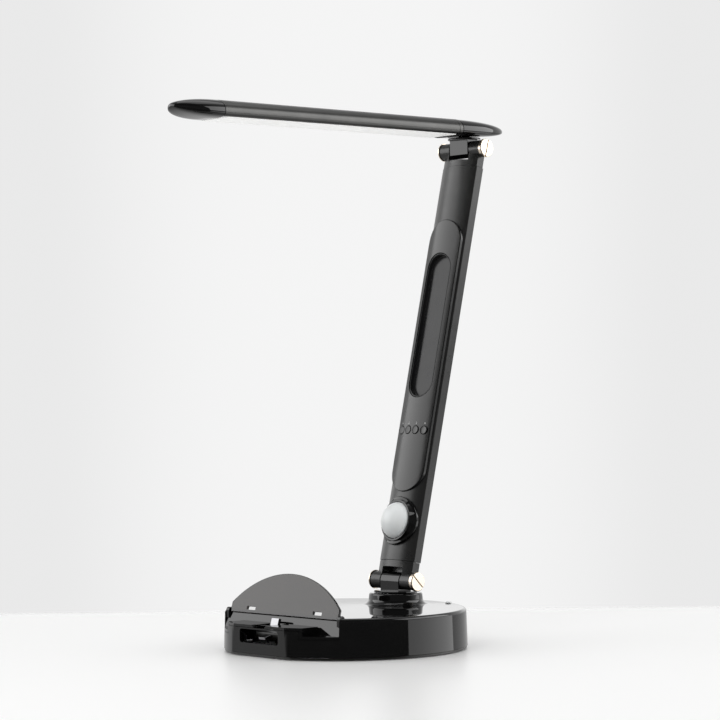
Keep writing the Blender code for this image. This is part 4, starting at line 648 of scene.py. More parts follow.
@dataclass
class RoundBase:
    """The glossy round shell with its boss, its flat front, its window and its sockets.

    The inlet and the outlet are each given by their right side, their left side and their height.
    """

    radius: float = 0.0910
    top_radius: float = 0.09026
    top: float = 0.03015
    bottom: float = 0.0025
    rim: float = 0.0025
    wall: float = 0.0024
    edge: float = 0.00022
    facet: float = 0.0862
    boss_radius: float = 0.0206
    boss_top: float = 0.0387
    boss_edge: float = 0.0014
    boss_draft: float = 0.0003
    flare_width: float = 0.00575
    flare_height: float = 0.0042
    shaft_hole: float = 0.0053
    window_half: float = 0.0210
    window_low: float = 0.0100
    window_high: float = 0.0200
    window_corner: float = 0.0020
    dock_end: float = 0.0628
    dock_floor: float = 0.0150
    ledge_half: float = 0.0382
    ledge_top: float = 0.0210
    behind_rest: float = 0.0019
    ear_radius: float = 0.0028
    ear_start: float = 0.0590
    plug_sweep: float = 0.0117
    plug_half: float = 0.0070
    socket_start: float = 0.0800
    socket_floor: float = 0.0107
    inlet: tuple[float, float, float] = (-0.0127, -0.0233, 0.0116)
    outlet: tuple[float, float, float] = (0.0254, 0.0106, 0.0076)
    lens_hole: float = 0.0015
    lens_stem: float = 0.0012
    lens_foot: float = 0.0027
    lens_size: Pair = (0.0025, 0.0010)
    steps: int = 180
    boss_steps: int = 120
    flare_steps: int = 16
    lens_steps: int = 40

    def disc(self, name: str, radius: float, top_radius: float, top: float, rim: float,
             facet: float) -> Object:
        """A disc with a rounded top rim and a flat front: the rim's arc turns from up to out."""
        edge = arc((top_radius - rim, top - rim), rim, 90.0, 0.0)
        profile = np.concatenate([[(0.0, top)], edge, [(radius, self.bottom), (0.0, self.bottom)]])
        made = turned(name, profile, Axis.Z, BASE, steps=self.steps)
        far = self.radius + OVERRUN
        return carve(made, block("front", (-far, -far, -OVERRUN), (far, -facet, far)))

    def boss(self) -> Object:
        """The boss: its foot's radius grows by width * (1 - cos a) as its height drops by sin a."""
        middle = (self.boss_radius - self.boss_draft - self.boss_edge, self.boss_top - self.boss_edge)
        edge = arc(middle, self.boss_edge, 90.0, 0.0)
        angle = np.linspace(0, math.pi / 2, self.flare_steps + 1)
        flare = np.stack([
            self.boss_radius + self.flare_width * (1 - np.cos(angle)),
            self.top - GAP / 2 + self.flare_height * (1 - np.sin(angle)),
        ], axis=-1)
        foot = self.top - self.wall / 2
        end = [(flare[-1, 0], foot), (0.0, foot)]
        profile = np.concatenate([[(0.0, self.boss_top)], edge, flare, end])
        return turned("boss", profile, Axis.Z, BASE, (0.0, BOSS_Y, 0.0), self.boss_steps)

    def dock_opening(self) -> Object:
        """The space over the side floors and the ledge, between the dock's ends."""
        lean = math.radians(DOCK_LEAN)
        far = self.radius + OVERRUN
        heights = np.array([self.dock_floor, self.top + OVERRUN])
        _, hinge_y, hinge_z = DOCK_HINGE
        reach = hinge_y + self.behind_rest / math.cos(lean) + (heights - hinge_z) * math.tan(lean)
        low, high = heights
        outline = np.array([(-far, low), (reach[0], low), (reach[1], high), (-far, high)])
        opening = bar("opening", outline, Axis.X, -self.dock_end, self.dock_end, BASE)
        half = self.ledge_half
        return carve(opening, block("step", (-half, -2 * far, 0.0), (half, 0.0, self.ledge_top)))

    def socket_hole(self, name: str, right: float, left: float, tall: float) -> Object:
        """A plain hole through the rear wall, between two places across."""
        low, high = self.socket_floor, self.socket_floor + tall
        outline = np.array([(right, low), (right, high), (left, high), (left, low)])
        return bar(name, outline, Axis.Y, self.socket_start, self.radius + OVERRUN, BASE)

    def openings(self) -> list[Object]:
        """What is cut from the shell: its hollow, its holes and the room for the dock."""
        wall, under = self.wall, self.top - 2 * self.wall
        hollow = self.disc("hollow", self.radius - wall, self.top_radius - wall, self.top - wall, GAP,
                           self.facet - wall)
        hollow.data.transform(Matrix.Translation((0.0, 0.0, -GAP)))
        middle = (0.0, BOSS_Y, 0.0)
        window = box_outline(self.window_half, self.window_low, self.window_high, self.window_corner)
        far, ear_end = self.radius + OVERRUN, self.dock_end - GAP / 2
        return [
            hollow,
            rod("boss_inside", self.boss_radius - wall, under, self.boss_top - wall, Axis.Z, centre=middle),
            rod("shaft", self.shaft_hole, self.boss_top - 2 * wall, far, Axis.Z, centre=middle),
            self.dock_opening(),
            rod("ear_left", self.ear_radius, -ear_end, -self.ear_start, Axis.X, centre=DOCK_HINGE),
            rod("ear_right", self.ear_radius, self.ear_start, ear_end, Axis.X, centre=DOCK_HINGE),
            bar("window", window, Axis.Y, -self.facet - OVERRUN, wall + OVERRUN - self.facet, BASE),
            rod("plug_sweep", self.plug_sweep, -self.plug_half, self.plug_half, Axis.X, centre=PLUG_AXIS),
            self.socket_hole("inlet", *self.inlet),
            self.socket_hole("outlet", *self.outlet),
            rod("lens_hole", self.lens_hole, under, far, Axis.Z, centre=LENS_AT, steps=FEW_STEPS),
        ]

    def build(self) -> None:
        """Builds the shell as one hollow solid with every opening cut, and then its fittings."""
        cover = self.disc("glossy_cover", self.radius, self.top_radius, self.top, self.rim, self.facet)
        fuse(cover, self.boss())
        carve(cover, *self.openings())
        dress(soften(cover, self.edge), "base", GLOSS, "base_cover")
        self.fittings()

    def fittings(self) -> None:
        """The sockets, the indicator and the plate under the base."""
        for node, finish, edge in (
            ("dc_inlet", RUBBER, 0.00020),
            ("usb_outlet", STEEL, 0.00010),
            ("base_plate", SATIN, 0.00015),
            ("base_pad", RUBBER, 0.00020),
        ):
            dress(refined("shaped_" + node, node, edge), "base", finish, node)
        foot = self.top - self.lens_foot
        dome = arc((0.0, 0.0), 1.0, 90.0, 0.0) * self.lens_size + (0.0, self.top + GAP)
        dome[0, 0] = 0.0
        stem = [(self.lens_stem, self.top + GAP), (self.lens_stem, foot), (0.0, foot)]
        profile = np.concatenate([dome, stem])
        lens = turned("indicator_dome", profile, Axis.Z, BASE, LENS_AT, self.lens_steps)
        dress(soften(lens), "base", MILK, "indicator_lens")


@dataclass
class Dock:
    """The dock in the front of the base: its moulding, its smoked plate and its plugs."""

    half: float = 0.0590
    height: float = 0.0304
    radius: float = 0.0846
    thick: float = 0.0022
    roll: float = 0.0005
    slot_x: float = 0.03635
    slot_width: float = 0.0097
    slot_height: float = 0.0027
    slot_sill: float = 0.0013
    slot_corner: float = 0.0006
    stub: float = 0.0009
    stub_reach: float = 0.0612
    tray_edge: float = 0.00025
    drum_edge: float = 0.00035
    plug_edge: float = 0.00012
    arc_steps: int = 96

    def build(self) -> None:
        """Builds the tray, the backrest and the turning connector."""
        dress(refined("dock_moulding", "dock_tray", self.tray_edge), "base", GLOSS, "dock_tray")
        self.backrest()
        for node, finish, edge in (
            ("connector_drum", SATIN, self.drum_edge),
            *(("connector_plug_%d" % number, PLUG, self.plug_edge) for number in (1, 2, 3)),
        ):
            piece = refined("shaped_" + node, node, edge)
            dress(piece, "connector", finish, node, centre=PLUG_AXIS, turn=-DOCK_LEAN)

    def backrest(self) -> None:
        """The smoked plate: an arc of the given radius over two short sides, with two slots."""
        deep = self.thick / 2
        start = math.degrees(math.acos(self.half / self.radius))
        middle = (0.0, self.height - self.radius)
        top = arc(middle, self.radius, start, 180.0 - start, self.arc_steps)
        outline = np.concatenate([[(self.half, -deep)], top, [(-self.half, -deep)]])
        plate = bar("smoked_backrest", outline, Axis.Y, -deep, deep, REST, roll=self.roll)
        low, high = self.slot_sill, self.slot_sill + self.slot_height
        slot = box_outline(self.slot_width / 2, low, high, self.slot_corner)
        carve(plate, *(bar("slot", slot + (x, 0.0), Axis.Y, -OVERRUN, OVERRUN, REST)
                       for x in (-self.slot_x, self.slot_x)))
        reach = self.stub_reach
        fuse(plate, rod("stubs", self.stub, -reach, reach, Axis.X, REST, steps=FEW_STEPS))
        dress(soften(plate), "backrest", SMOKE, "dock_backrest")


@dataclass
class Hinges:
    """The two hinges of the arm: forks, knuckles, washers and slotted bolts."""

    start: float = 0.0216
    thick: float = 0.0030
    nut_thick: float = 0.0010
    head: float = 0.0072
    edge: float = 0.0007
    nut_edge: float = 0.0004
    shank: float = 0.0025
    reach: float = 0.0216
    slot_width: float = 0.0012
    slot_reach: float = 0.01
    slot_depth: float = 0.0008
    nut_slot_depth: float = 0.0004
    slot_edge: float = 0.00012
    lower_slot_turn: float = -31.0
    upper_slot_turn: float = 88.0
    part_edge: float = 0.00030
    washer_edge: float = 0.00010
    steps: int = 72

    def bolt(self, name: str, place: Place, turn: float, side: int, node: str) -> None:
        """A slotted head with a rounded rim on its shank, or the thinner sleeve nut across from it.

        Args:
            name: the piece's name.
            place: the hinge's frame.
            turn: the slot's turn.
            side: 1 for the bolt on the right, -1 for the nut on the left.
            node: the solid that it replaces.
        """
        if side > 0:
            thick, edge, deep = self.thick, self.edge, self.slot_depth
            foot, tip = self.shank, -self.reach
        else:
            thick, edge, deep = self.nut_thick, self.nut_edge, self.nut_slot_depth
            foot, tip = self.shank + GAP, self.reach + GAP
        end = self.start + thick
        rim = arc((self.head - edge, end - edge), edge, 90.0, 0.0)
        rest = [(self.head, self.start), (foot, self.start), (foot, tip), (0.0, tip)]
        profile = np.concatenate([[(0.0, end)], rim, rest]) * (1.0, side)
        made = turned(name, profile, Axis.X, place, steps=self.steps)
        low, high = sorted((side * (end - deep), side * (end + OVERRUN)))
        half, reach, angle = self.slot_width / 2, self.slot_reach, math.radians(turn)
        slot = np.array([(-reach, -half), (reach, -half), (reach, half), (-reach, half)])
        spin = np.array([[math.cos(angle), math.sin(angle)], [-math.sin(angle), math.cos(angle)]])
        carve(made, bar("slot", slot @ spin, Axis.X, low, high, place))
        dress(soften(made, self.slot_edge), "arm", GOLD, node, centre=place.origin)

    def build(self) -> None:
        """Builds both hinges."""
        for label, place, turn in (
            ("lower", ARM, self.lower_slot_turn),
            ("upper", ARM_TOP, self.upper_slot_turn),
        ):
            self.bolt(label + "_slotted_bolt", place, turn, 1, label + "_hinge_bolt")
            self.bolt(label + "_slotted_nut", place, turn, -1, label + "_hinge_sleeve_nut")
        washers = ["%s_hinge_washer_%d" % (label, number)
                   for label in ("lower", "upper") for number in (1, 2)]
        for node, body, finish, edge in (
            ("arm_lower_fork", "arm", SATIN, self.part_edge),
            ("arm_upper_fork", "arm", SATIN, self.part_edge),
            ("swivel_knuckle", "turntable", GLOSS, self.part_edge),
            ("head_knuckle", "head_hinge", GLOSS, self.part_edge),
            *((washer, "arm", RUBBER, self.washer_edge) for washer in washers),
        ):
            dress(refined("shaped_" + node, node, edge), body, finish, node)


@dataclass
class Arm:
    """The arched front shell, the panel with its display and buttons, and the sensor.

    Each row of the sleeve is one step of the display's rim: how far in it lies, whether it
    follows the panel's face or the floor, and how much deeper than that it is.
    """

    half: float = 0.0186
    crown: float = 0.0076
    drop: float = 0.0056
    back: float = 0.0053
    wall: float = 0.0018
    corner: float = 0.0012
    inner_corner: float = 0.0006
    edge: float = 0.00025
    start: float = 0.0150
    end: float = 0.32885
    panel_front: float = 0.0087
    panel_half: float = 0.0172
    panel_drop: float = 0.0030
    panel_start: float = 0.0676
    panel_end: float = 0.2848
    panel_edge: float = 0.0008
    panel_lip: float = 0.0004
    display_half: float = 0.0127
    display_start: float = 0.1418
    display_end: float = 0.2575
    display_floor: float = -0.0034
    display_sink: float = 0.0006
    sleeve: tuple[tuple[float, bool, float], ...] = (
        (0.0, False, 0.0010), (0.0, True, 0.0002), (0.0002, True, 0.0), (0.0006, True, 0.0),
        (0.0009, True, 0.0002), (0.0011, False, -0.0003), (0.0014, False, 0.0),
    )
    buttons_at: float = 0.1160
    button_pitch: float = 0.0080
    button_radius: float = 0.0032
    button_foot: float = 0.0018
    button_rise: float = 0.0005
    button_rim: float = 0.0005
    dish_share: float = 0.82
    dish_depth: float = 0.00035
    dish_bow: float = 0.00020
    number_size: float = 0.0023
    number_thick: float = 0.00003
    number_lift: float = 0.00002
    number_above: float = 0.0046
    sensor_at: float = 0.0448
    sensor_hole: float = 0.0090
    ring: float = 0.0175
    ring_rise: float = 0.0026
    ring_round: float = 0.0007
    long: float = 1.075
    collar: float = 0.0149
    collar_round: float = 0.0003
    collar_crease: Pair = (0.0004, 0.0001)
    draft: float = 0.42
    collar_front: float = -0.0106
    bore: float = 0.0133
    dome_round: float = 0.01352
    dome_middle: float = 0.00688
    dome_wall: float = 0.0012
    front_steps: int = 48
    shell_bore_steps: int = 40
    panel_bore_steps: int = 48
    button_steps: int = 56
    dish_steps: int = 9
    round_steps: int = 6
    small_round_steps: int = 4

    def shell_front(self, across: Array) -> Array:
        """The shell's arched front: minus the crown plus drop * (x / half) squared."""
        return -self.crown + self.drop * (across / self.half) ** 2

    def panel_face(self, across: Array) -> Array:
        """The panel's flatter front: minus its height plus panel_drop * (x / its half) squared."""
        return -self.panel_front + self.panel_drop * (across / self.panel_half) ** 2

    def build(self) -> None:
        """Builds the arm's shell, panel, display, buttons and sensor."""
        self.shell()
        self.panel()
        self.display()
        self.buttons()
        self.sensor_ring()
        self.sensor_dome()

    def section(self, inner: float, corner: float) -> Array:
        """One face of the shell's section as an open line: sides, rounded edges and arched front.

        Args:
            inner: how far inside the outer face the line runs.
            corner: the radius of the edges between the sides and the front.

        Returns:
            Points (x, y) from the right back over the front to the left back.
        """
        half, steps = self.half - inner, self.round_steps
        across = np.linspace(half, -half, self.front_steps + 1)
        front = np.stack([across, -self.crown + inner + self.drop * (across / self.half) ** 2], axis=-1)
        slope = np.array([-1.0, -2 * self.drop / self.half])
        slope /= np.linalg.norm(slope)
        corners = np.array([(half, self.back), front[0], front[0] + slope * 4 * corner, (0.0, self.back)])
        bend = rounded(corners, corner, steps)[steps + 1:2 * steps + 2]
        keep = np.abs(front[:, 0]) < bend[-1, 0]
        left = bend[::-1] * (-1.0, 1.0)
        return np.concatenate([[(half, self.back)], bend, front[keep], left, [(-half, self.back)]])

    def bores(self, steps: int) -> list[Object]:
        """The holes for the buttons, right through the front."""
        radius, along = self.button_radius + GAP, self.buttons_at
        return [rod("bore", radius, 0.0, THROUGH, Axis.FRONT, ARM, (x, 0.0, along), steps)
                for x in self.button_places()]

    def shell(self) -> None:
        """The shell: its section, closed along the inner wall, drawn out along the arm."""
        outer, inner = self.section(0.0, self.corner), self.section(self.wall, self.inner_corner)
        shell = bar("arched_shell", np.concatenate([outer, inner[::-1]]), Axis.Z, self.start, self.end, ARM)
        slot = stadium(self.display_half, self.display_start, self.display_end)
        window = bar("window", slot, Axis.Y, -THROUGH, 0.0, ARM)
        middle = (0.0, 0.0, self.sensor_at)
        opening = rod("opening", self.sensor_hole, 0.0, THROUGH, Axis.FRONT, ARM, middle)
        carve(shell, window, opening, *self.bores(self.shell_bore_steps))
        dress(soften(shell, self.edge), "arm", SATIN, "arm_front_shell", turn=-ARM_LEAN)
        cover = refined("flat_back_cover", "arm_back_cover", self.edge)
        dress(cover, "arm", SATIN, "arm_back_cover", turn=-ARM_LEAN)

    def panel(self, turns: int = 6, flats: int = 5) -> None:
        """The panel: a plate between two slots whose faces follow the arched front.

        Its surface is a loop of slots: up the outer side, over the rounded outer edge, across
        the face and down into the display's opening, then back underneath.

        Args:
            turns: slots over each rounded edge.
            flats: slots across the face between them.
        """
        outer = stadium(self.panel_half, self.panel_start, self.panel_end)
        inner = stadium(self.display_half, self.display_start, self.display_end)
        edge, lip = self.panel_edge, self.panel_lip
        roll = np.linspace(0, math.pi / 2, turns)
        down, out = 1 - np.sin(roll), 1 - np.cos(roll)
        rest = np.zeros(flats)
        sink = np.concatenate([down * edge, rest, (down * lip)[::-1]])
        share = np.concatenate([np.zeros(turns), np.linspace(0.1, 0.9, flats), np.ones(turns)])
        rim = inset(outer, np.concatenate([edge * out, rest, np.zeros(turns)]))
        hole = inset(inner, -np.concatenate([np.zeros(turns), rest, (lip * out)[::-1]]))
        flat = rim * (1 - share[:, None, None]) + hole * share[:, None, None]
        top = self.panel_face(flat[..., 0]) + sink[:, None]
        under = flat[[-1, 0]]
        below = self.shell_front(under[..., 0]) - GAP
        rings = np.concatenate([
            np.stack([flat[..., 0], top, flat[..., 1]], axis=-1),
            np.stack([under[..., 0], below, under[..., 1]], axis=-1),
        ])
        panel = skin("arched_panel", rings, ARM, loop=True)
        carve(panel, *self.bores(self.panel_bore_steps))
        dress(soften(panel), "arm", LACQUER, "control_panel")

    def display(self) -> None:
        """The display's bezel and window: a slot-shaped tray with a flat dark floor."""
        outer = stadium(self.display_half - GAP, self.display_start + GAP, self.display_end - GAP)
        within, on_face, deeper = (np.array(column) for column in zip(*self.sleeve))
        flat = inset(outer, within)
        face = self.panel_face(flat[..., 0]) + self.display_sink
        depth = np.where(on_face[:, None], face, self.display_floor) + deeper[:, None]
        window = skin("sunk_display_window", np.stack([flat[..., 0], depth, flat[..., 1]], axis=-1), ARM)
        dress(soften(window), "arm", WINDOW, "display_window")

    def button_places(self) -> Array:
        """The four buttons' places across the arm."""
        return (np.arange(4) - 1.5) * self.button_pitch

    def buttons(self) -> None:
        """Four round buttons with a rounded rim and a dished top, and a plain number over each."""
        radius, edge = self.button_radius, self.button_rim
        share = np.linspace(self.dish_share, 0.0, self.dish_steps + 1)
        for number, x in enumerate(self.button_places(), 1):
            rise = -float(self.panel_face(np.array(x))) + self.button_rise
            rim = arc((radius - edge, rise - edge), edge, 0.0, 120.0, self.round_steps)
            dish = np.stack([radius * share, rise - self.dish_depth + self.dish_bow * share**2], axis=-1)
            profile = np.concatenate([[(0.0, self.button_foot), (radius, self.button_foot)], rim, dish])
            middle = (float(x), 0.0, self.buttons_at)
            name = "round_button_%d" % number
            button = turned(name, profile, Axis.FRONT, ARM, middle, self.button_steps)
            dress(soften(button), "button_%d" % number, GLOSS, "button_%d" % number)
            self.number(str(number), float(x))

    def number(self, text: str, x: float) -> None:
        """A plain number printed on the panel, laid on its arched face."""
        curve = bpy.data.curves.new("number", "FONT")
        curve.body = text
        curve.size = self.number_size
        curve.extrude = self.number_thick
        curve.align_x = "CENTER"
        guide = linked("guide", curve)
        bpy.context.view_layer.update()
        mesh = bpy.data.meshes.new_from_object(guide.evaluated_get(bpy.context.evaluated_depsgraph_get()))
        bpy.data.objects.remove(guide)
        flat = np.empty(len(mesh.vertices) * 3)
        mesh.vertices.foreach_get("co", flat)
        across, up, thick = flat.reshape(-1, 3).T
        across = across + x
        local = np.stack([across, self.panel_face(across) - thick - self.number_lift,
                          up + self.buttons_at + self.number_above], axis=-1)
        mesh.vertices.foreach_set("co", ARM.points(local).ravel())
        dress(weld(linked("printed_number_" + text, mesh)), "arm", PRINT)

    def about_sensor(self, across: Array, along: Array, up: Array) -> Array:
        """Rings about the sensor's axis, which are longer along the arm."""
        return np.stack([across, along, self.long * up + self.sensor_at], axis=-1)

    def sensor_ring(self) -> None:
        """The oval ring with its flat collar.

        The ring's outer part rises evenly over the shell's arch, and the collar stands up from
        it to one flat plane. The slope between them spreads by the draft times its height.
        """
        angle = full_turn()
        wide, rise, front = self.ring_round, self.ring_rise, -self.collar_front
        small = self.collar_round
        over = arc((self.ring - wide, rise - wide), wide, 0.0, 90.0, self.round_steps)
        crease = [(0.0, rise), (0.0, rise + self.collar_crease[1])]
        low = np.concatenate([[(self.ring, GAP)], over, crease])
        high = np.concatenate([
            arc((self.collar - small, front - small), small, 0.0, 90.0, self.small_round_steps),
            arc((self.bore + small, front - small), small, 90.0, 180.0, self.small_round_steps),
        ])
        radius = np.concatenate([low[:, 0], high[:, 0], [self.bore]])[:, None].repeat(len(angle), axis=1)
        height = self.shell_front(self.collar * np.cos(angle)) - rise + front
        foot = self.collar + self.draft * height
        for row, beyond in zip((-2, -1), self.collar_crease):
            radius[len(low) + row] = foot + beyond
        across, up = radius * np.cos(angle), radius * np.sin(angle)
        along = self.shell_front(across) - np.concatenate([low[:, 1], np.zeros(len(high)), [GAP]])[:, None]
        along[len(low):len(low) + len(high)] = -high[:, 1:]
        ring = skin("sensor_bezel", self.about_sensor(across, along, up), ARM, loop=True)
        dress(soften(ring), "arm", GLOSS, "sensor_ring")

    def sensor_dome(self) -> None:
        """The milky dome in the ring: an even wall whose foot follows the shell's arch."""
        angle = full_turn()
        outer = self.dome_arc(0.0)
        inner = self.dome_arc(self.dome_wall)[::-1]
        shape = np.concatenate([outer, [(outer[-1, 0], 0.0), (inner[0, 0], 0.0)], inner])
        across, up = shape[:, :1] * np.cos(angle), shape[:, :1] * np.sin(angle)
        along = np.broadcast_to(-shape[:, 1:], across.shape).copy()
        foot = slice(len(outer), len(outer) + 2)
        along[foot] = self.shell_front(across[foot]) - GAP
        dome = skin("milky_dome", self.about_sensor(across, along, up), ARM, caps=False)
        dress(soften(dome), "arm", MILK, "sensor_dome", turn=-ARM_LEAN)

    def dome_arc(self, wall: float) -> Array:
        """The dome's front from its middle to its edge, that wall thickness inside the outer one."""
        reach = self.dome_round - wall
        first = math.degrees(math.acos((self.bore - GAP - wall) / reach))
        points = arc((0.0, self.dome_middle), reach, 90.0, first, FEW_STEPS)
        points[0, 0] = 0.0
        return points


def full_turn(steps: int = 144) -> Array:
    """Even angles round a whole turn, in radians."""
    return np.linspace(0, 2 * math.pi, steps, endpoint=False)


@dataclass
class Head:
    """The long light head: its profile, its two pointed caps and its diffuser.

    The cap shares say where along a cap its first rings stand, and the seam insets how far in
    the first two of them lie. The other rings close up towards the tip by the cap's spacing.
    """

    underside: float = 0.00967
    thick: float = 0.0138
    belt: float = 0.0052
    half: float = 0.0175
    wall: float = 0.0016
    front: float = -0.2961
    front_seam: float = -0.2603
    rear_seam: float = -0.0183
    rear: float = 0.0409
    front_rise: float = 0.0078
    rear_rise: float = 0.0070
    top_shares: Pair = (0.80, 1.0)
    foot_shares: Pair = (0.45, 0.55)
    crowding: float = 0.10
    end_run: float = 0.0002
    end_inset: float = 0.00018
    cap_shares: tuple[float, ...] = (0.0, 0.0, 0.004, 0.010)
    cap_first: float = 0.02
    cap_spacing: float = 0.7
    seam_insets: Pair = (0.0016, 0.0003)
    tip_power: float = 2.2
    shaft_hole: float = 0.0048
    light_half: float = 0.0145
    light_front: float = -0.2557
    light_rear: float = -0.0233
    light_thick: float = 0.0015
    light_corner: float = 0.0012
    light_roll: float = 0.0003
    groove: float = -0.0222
    groove_width: float = 0.00025
    groove_depth: float = 0.00025
    wall_steps: int = 120
    cap_rings: int = 60

    def section(self, angle: Array, wall: float = 0.0) -> Array:
        """The rounded section: x = half * |cos a|^p and z = reach * |sin a|^q, with their signs.

        Args:
            angle: angles round the belt's middle, in radians.
            wall: how far inside the outer face the line runs.

        Returns:
            Points (x, z) with z measured from the belt.
        """
        cosine, sine = np.cos(angle), np.sin(angle)
        above = sine > 0
        wide = np.where(above, self.top_shares[0], self.foot_shares[0])
        tall = np.where(above, self.top_shares[1], self.foot_shares[1])
        reach = np.where(above, self.thick - self.belt, self.belt) - wall
        x = np.sign(cosine) * np.abs(cosine) ** wide * (self.half - wall)
        z = np.sign(sine) * np.abs(sine) ** tall * reach
        return np.stack([x, z], axis=-1)

    def around(self) -> Array:
        """Angles for a whole section, closer where the belt and the foot bend fast."""
        even = full_turn()
        even += math.pi / len(even)
        return even - self.crowding * np.sin(4 * even)

    def build(self) -> None:
        """Builds the head."""
        self.profile()
        self.cap("front_pointed_cap", self.front_seam, self.front, self.front_rise, "head_front_cap")
        self.cap("rear_pointed_cap", self.rear_seam, self.rear, self.rear_rise, "head_rear_cap")
        self.diffuser()

    def profile(self) -> None:
        """The drawn profile: a C-shaped wall, open underneath between the diffuser's edges."""
        lines = []
        for wall in (0.0, self.wall):
            mouth = (self.light_half + GAP) / (self.half - wall)
            edge = math.acos(mouth ** (1 / self.foot_shares[0]))
            angle = math.pi / 2 + (math.pi / 2 + edge) * np.linspace(-1, 1, self.wall_steps + 1)
            lines.append(self.section(angle, wall) + (0.0, self.underside + self.belt))
        outline = np.concatenate([lines[0], lines[1][::-1]])
        start, end = self.front_seam + GAP / 2, self.rear_seam - GAP / 2
        at, wide, deep = self.groove, self.groove_width, self.groove_depth
        along, within = np.array([
            (start, self.end_inset),
            (start + self.end_run, 0.0),
            (at - wide, 0.0),
            (at - wide / 2, deep),
            (at + wide / 2, deep),
            (at + wide, 0.0),
            (end - self.end_run, 0.0),
            (end, self.end_inset),
        ]).T
        flat = inset(outline, within)
        made = skin("drawn_profile", Axis.Y.lift(flat[..., 0], flat[..., 1], along[:, None]), HEAD)
        dress(soften(made), "head", ANODISED, "head_profile", turn=HEAD_PITCH)

    def cap(self, name: str, seam: float, end: float, rise: float, node: str) -> None:
        """A pointed cap: the section shrinks by (1 - s^p)^0.5 as s goes from the seam to the tip.

        Args:
            name: the piece's name.
            seam: where it meets the profile.
            end: where its tip is.
            rise: the tip's height over the underside.
            node: the solid that it replaces.
        """
        towards = math.copysign(1.0, end - seam)
        start = seam + towards * GAP / 2
        even = np.linspace(self.cap_first, 1.0, self.cap_rings)
        share = np.concatenate([self.cap_shares, even**self.cap_spacing])
        share[-1] = 1.0
        seam_inset = np.zeros(len(share))
        seam_inset[:2] = self.seam_insets
        shrink = np.clip(1 - share**self.tip_power, 0, 1) ** 0.5
        tip = self.underside + rise
        belt = tip + (self.underside + self.belt - tip) * shrink
        flat = self.section(self.around())[None] * (shrink - seam_inset / self.half)[:, None, None]
        along = (start + (end - start) * share)[:, None]
        made = skin(name, Axis.Y.lift(flat[..., 0], flat[..., 1] + belt[:, None], along), HEAD)
        if towards > 0:
            carve(made, rod("shaft", self.shaft_hole, 0.0, self.underside + self.belt, Axis.Z, HEAD))
        dress(soften(made), "head", GLOSS, node)

    def diffuser(self) -> None:
        """The white strip under the head, with rounded edges."""
        low = self.underside + GAP
        outline = rounded(np.array([
            (self.light_half, self.light_front), (self.light_half, self.light_rear),
            (-self.light_half, self.light_rear), (-self.light_half, self.light_front),
        ]), self.light_corner)
        strip = bar("white_diffuser", outline, Axis.Z, low, low + self.light_thick, HEAD, self.light_roll)
        dress(soften(strip), "head", DIFFUSER, "diffuser")


INSIDE_FINISHES = {
    "base_screw_": STEEL,
    "arm_screw_": STEEL,
    "ballast_plate": STEEL,
    "connector_pin": STEEL,
    "swivel_nut": STEEL,
    "head_swivel_nut": STEEL,
    "motion_sensor": STEEL,
    "base_circuit_board": GREEN_BOARD,
    "arm_circuit_board": GREEN_BOARD,
    "display_module": RUBBER,
    "led_board": WHITE_BOARD,
}


def dress_inside() -> None:
    """Gives the solids that stay as they are a finish by the start of their names."""
    for name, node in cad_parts.items():
        if node.hide_render:
            continue
        finish = next((look for start, look in INSIDE_FINISHES.items() if name.startswith(start)), SATIN)
        node.data.materials.clear()
        node.data.materials.append(finish.material())
        LOG.info("%s: %s", name, finish.name)


@dataclass(frozen=True)
class SoftBox:
    """A soft box: a sheet that only glossy surfaces show, and a lamp that lights the rest.

    A brightness of zero leaves that half out.
    """

    name: str
    towards: Point
    sheet: Pair = (1.0, 1.0)
    shine: float = 0.0
    lamp: Pair = (1.0, 1.0)
    level: float = 0.0


SOFT_BOXES = (
    SoftBox("left_box", (-0.70, -0.713, 0.35), (1.6, 1.20), 2.2, (1.3, 0.9), 2.0),
    SoftBox("right_box", (0.727, 0.686, 0.48), (1.7, 0.95), 2.5, (1.1, 0.8), 2.2),
    SoftBox("right_low", (0.707, 0.707, -0.20), (1.7, 0.40), 1.3),
    SoftBox("top_box", (-0.10, 0.15, 1.0), (1.2, 1.20), 0.9, (1.2, 1.2), 1.3),
    SoftBox("front_box", (0.35, -0.85, 0.45), lamp=(1.0, 0.8), level=1.8),
    SoftBox("back_box", (-0.727, 0.686, 0.07), (2.6, 0.30), 0.30),
)


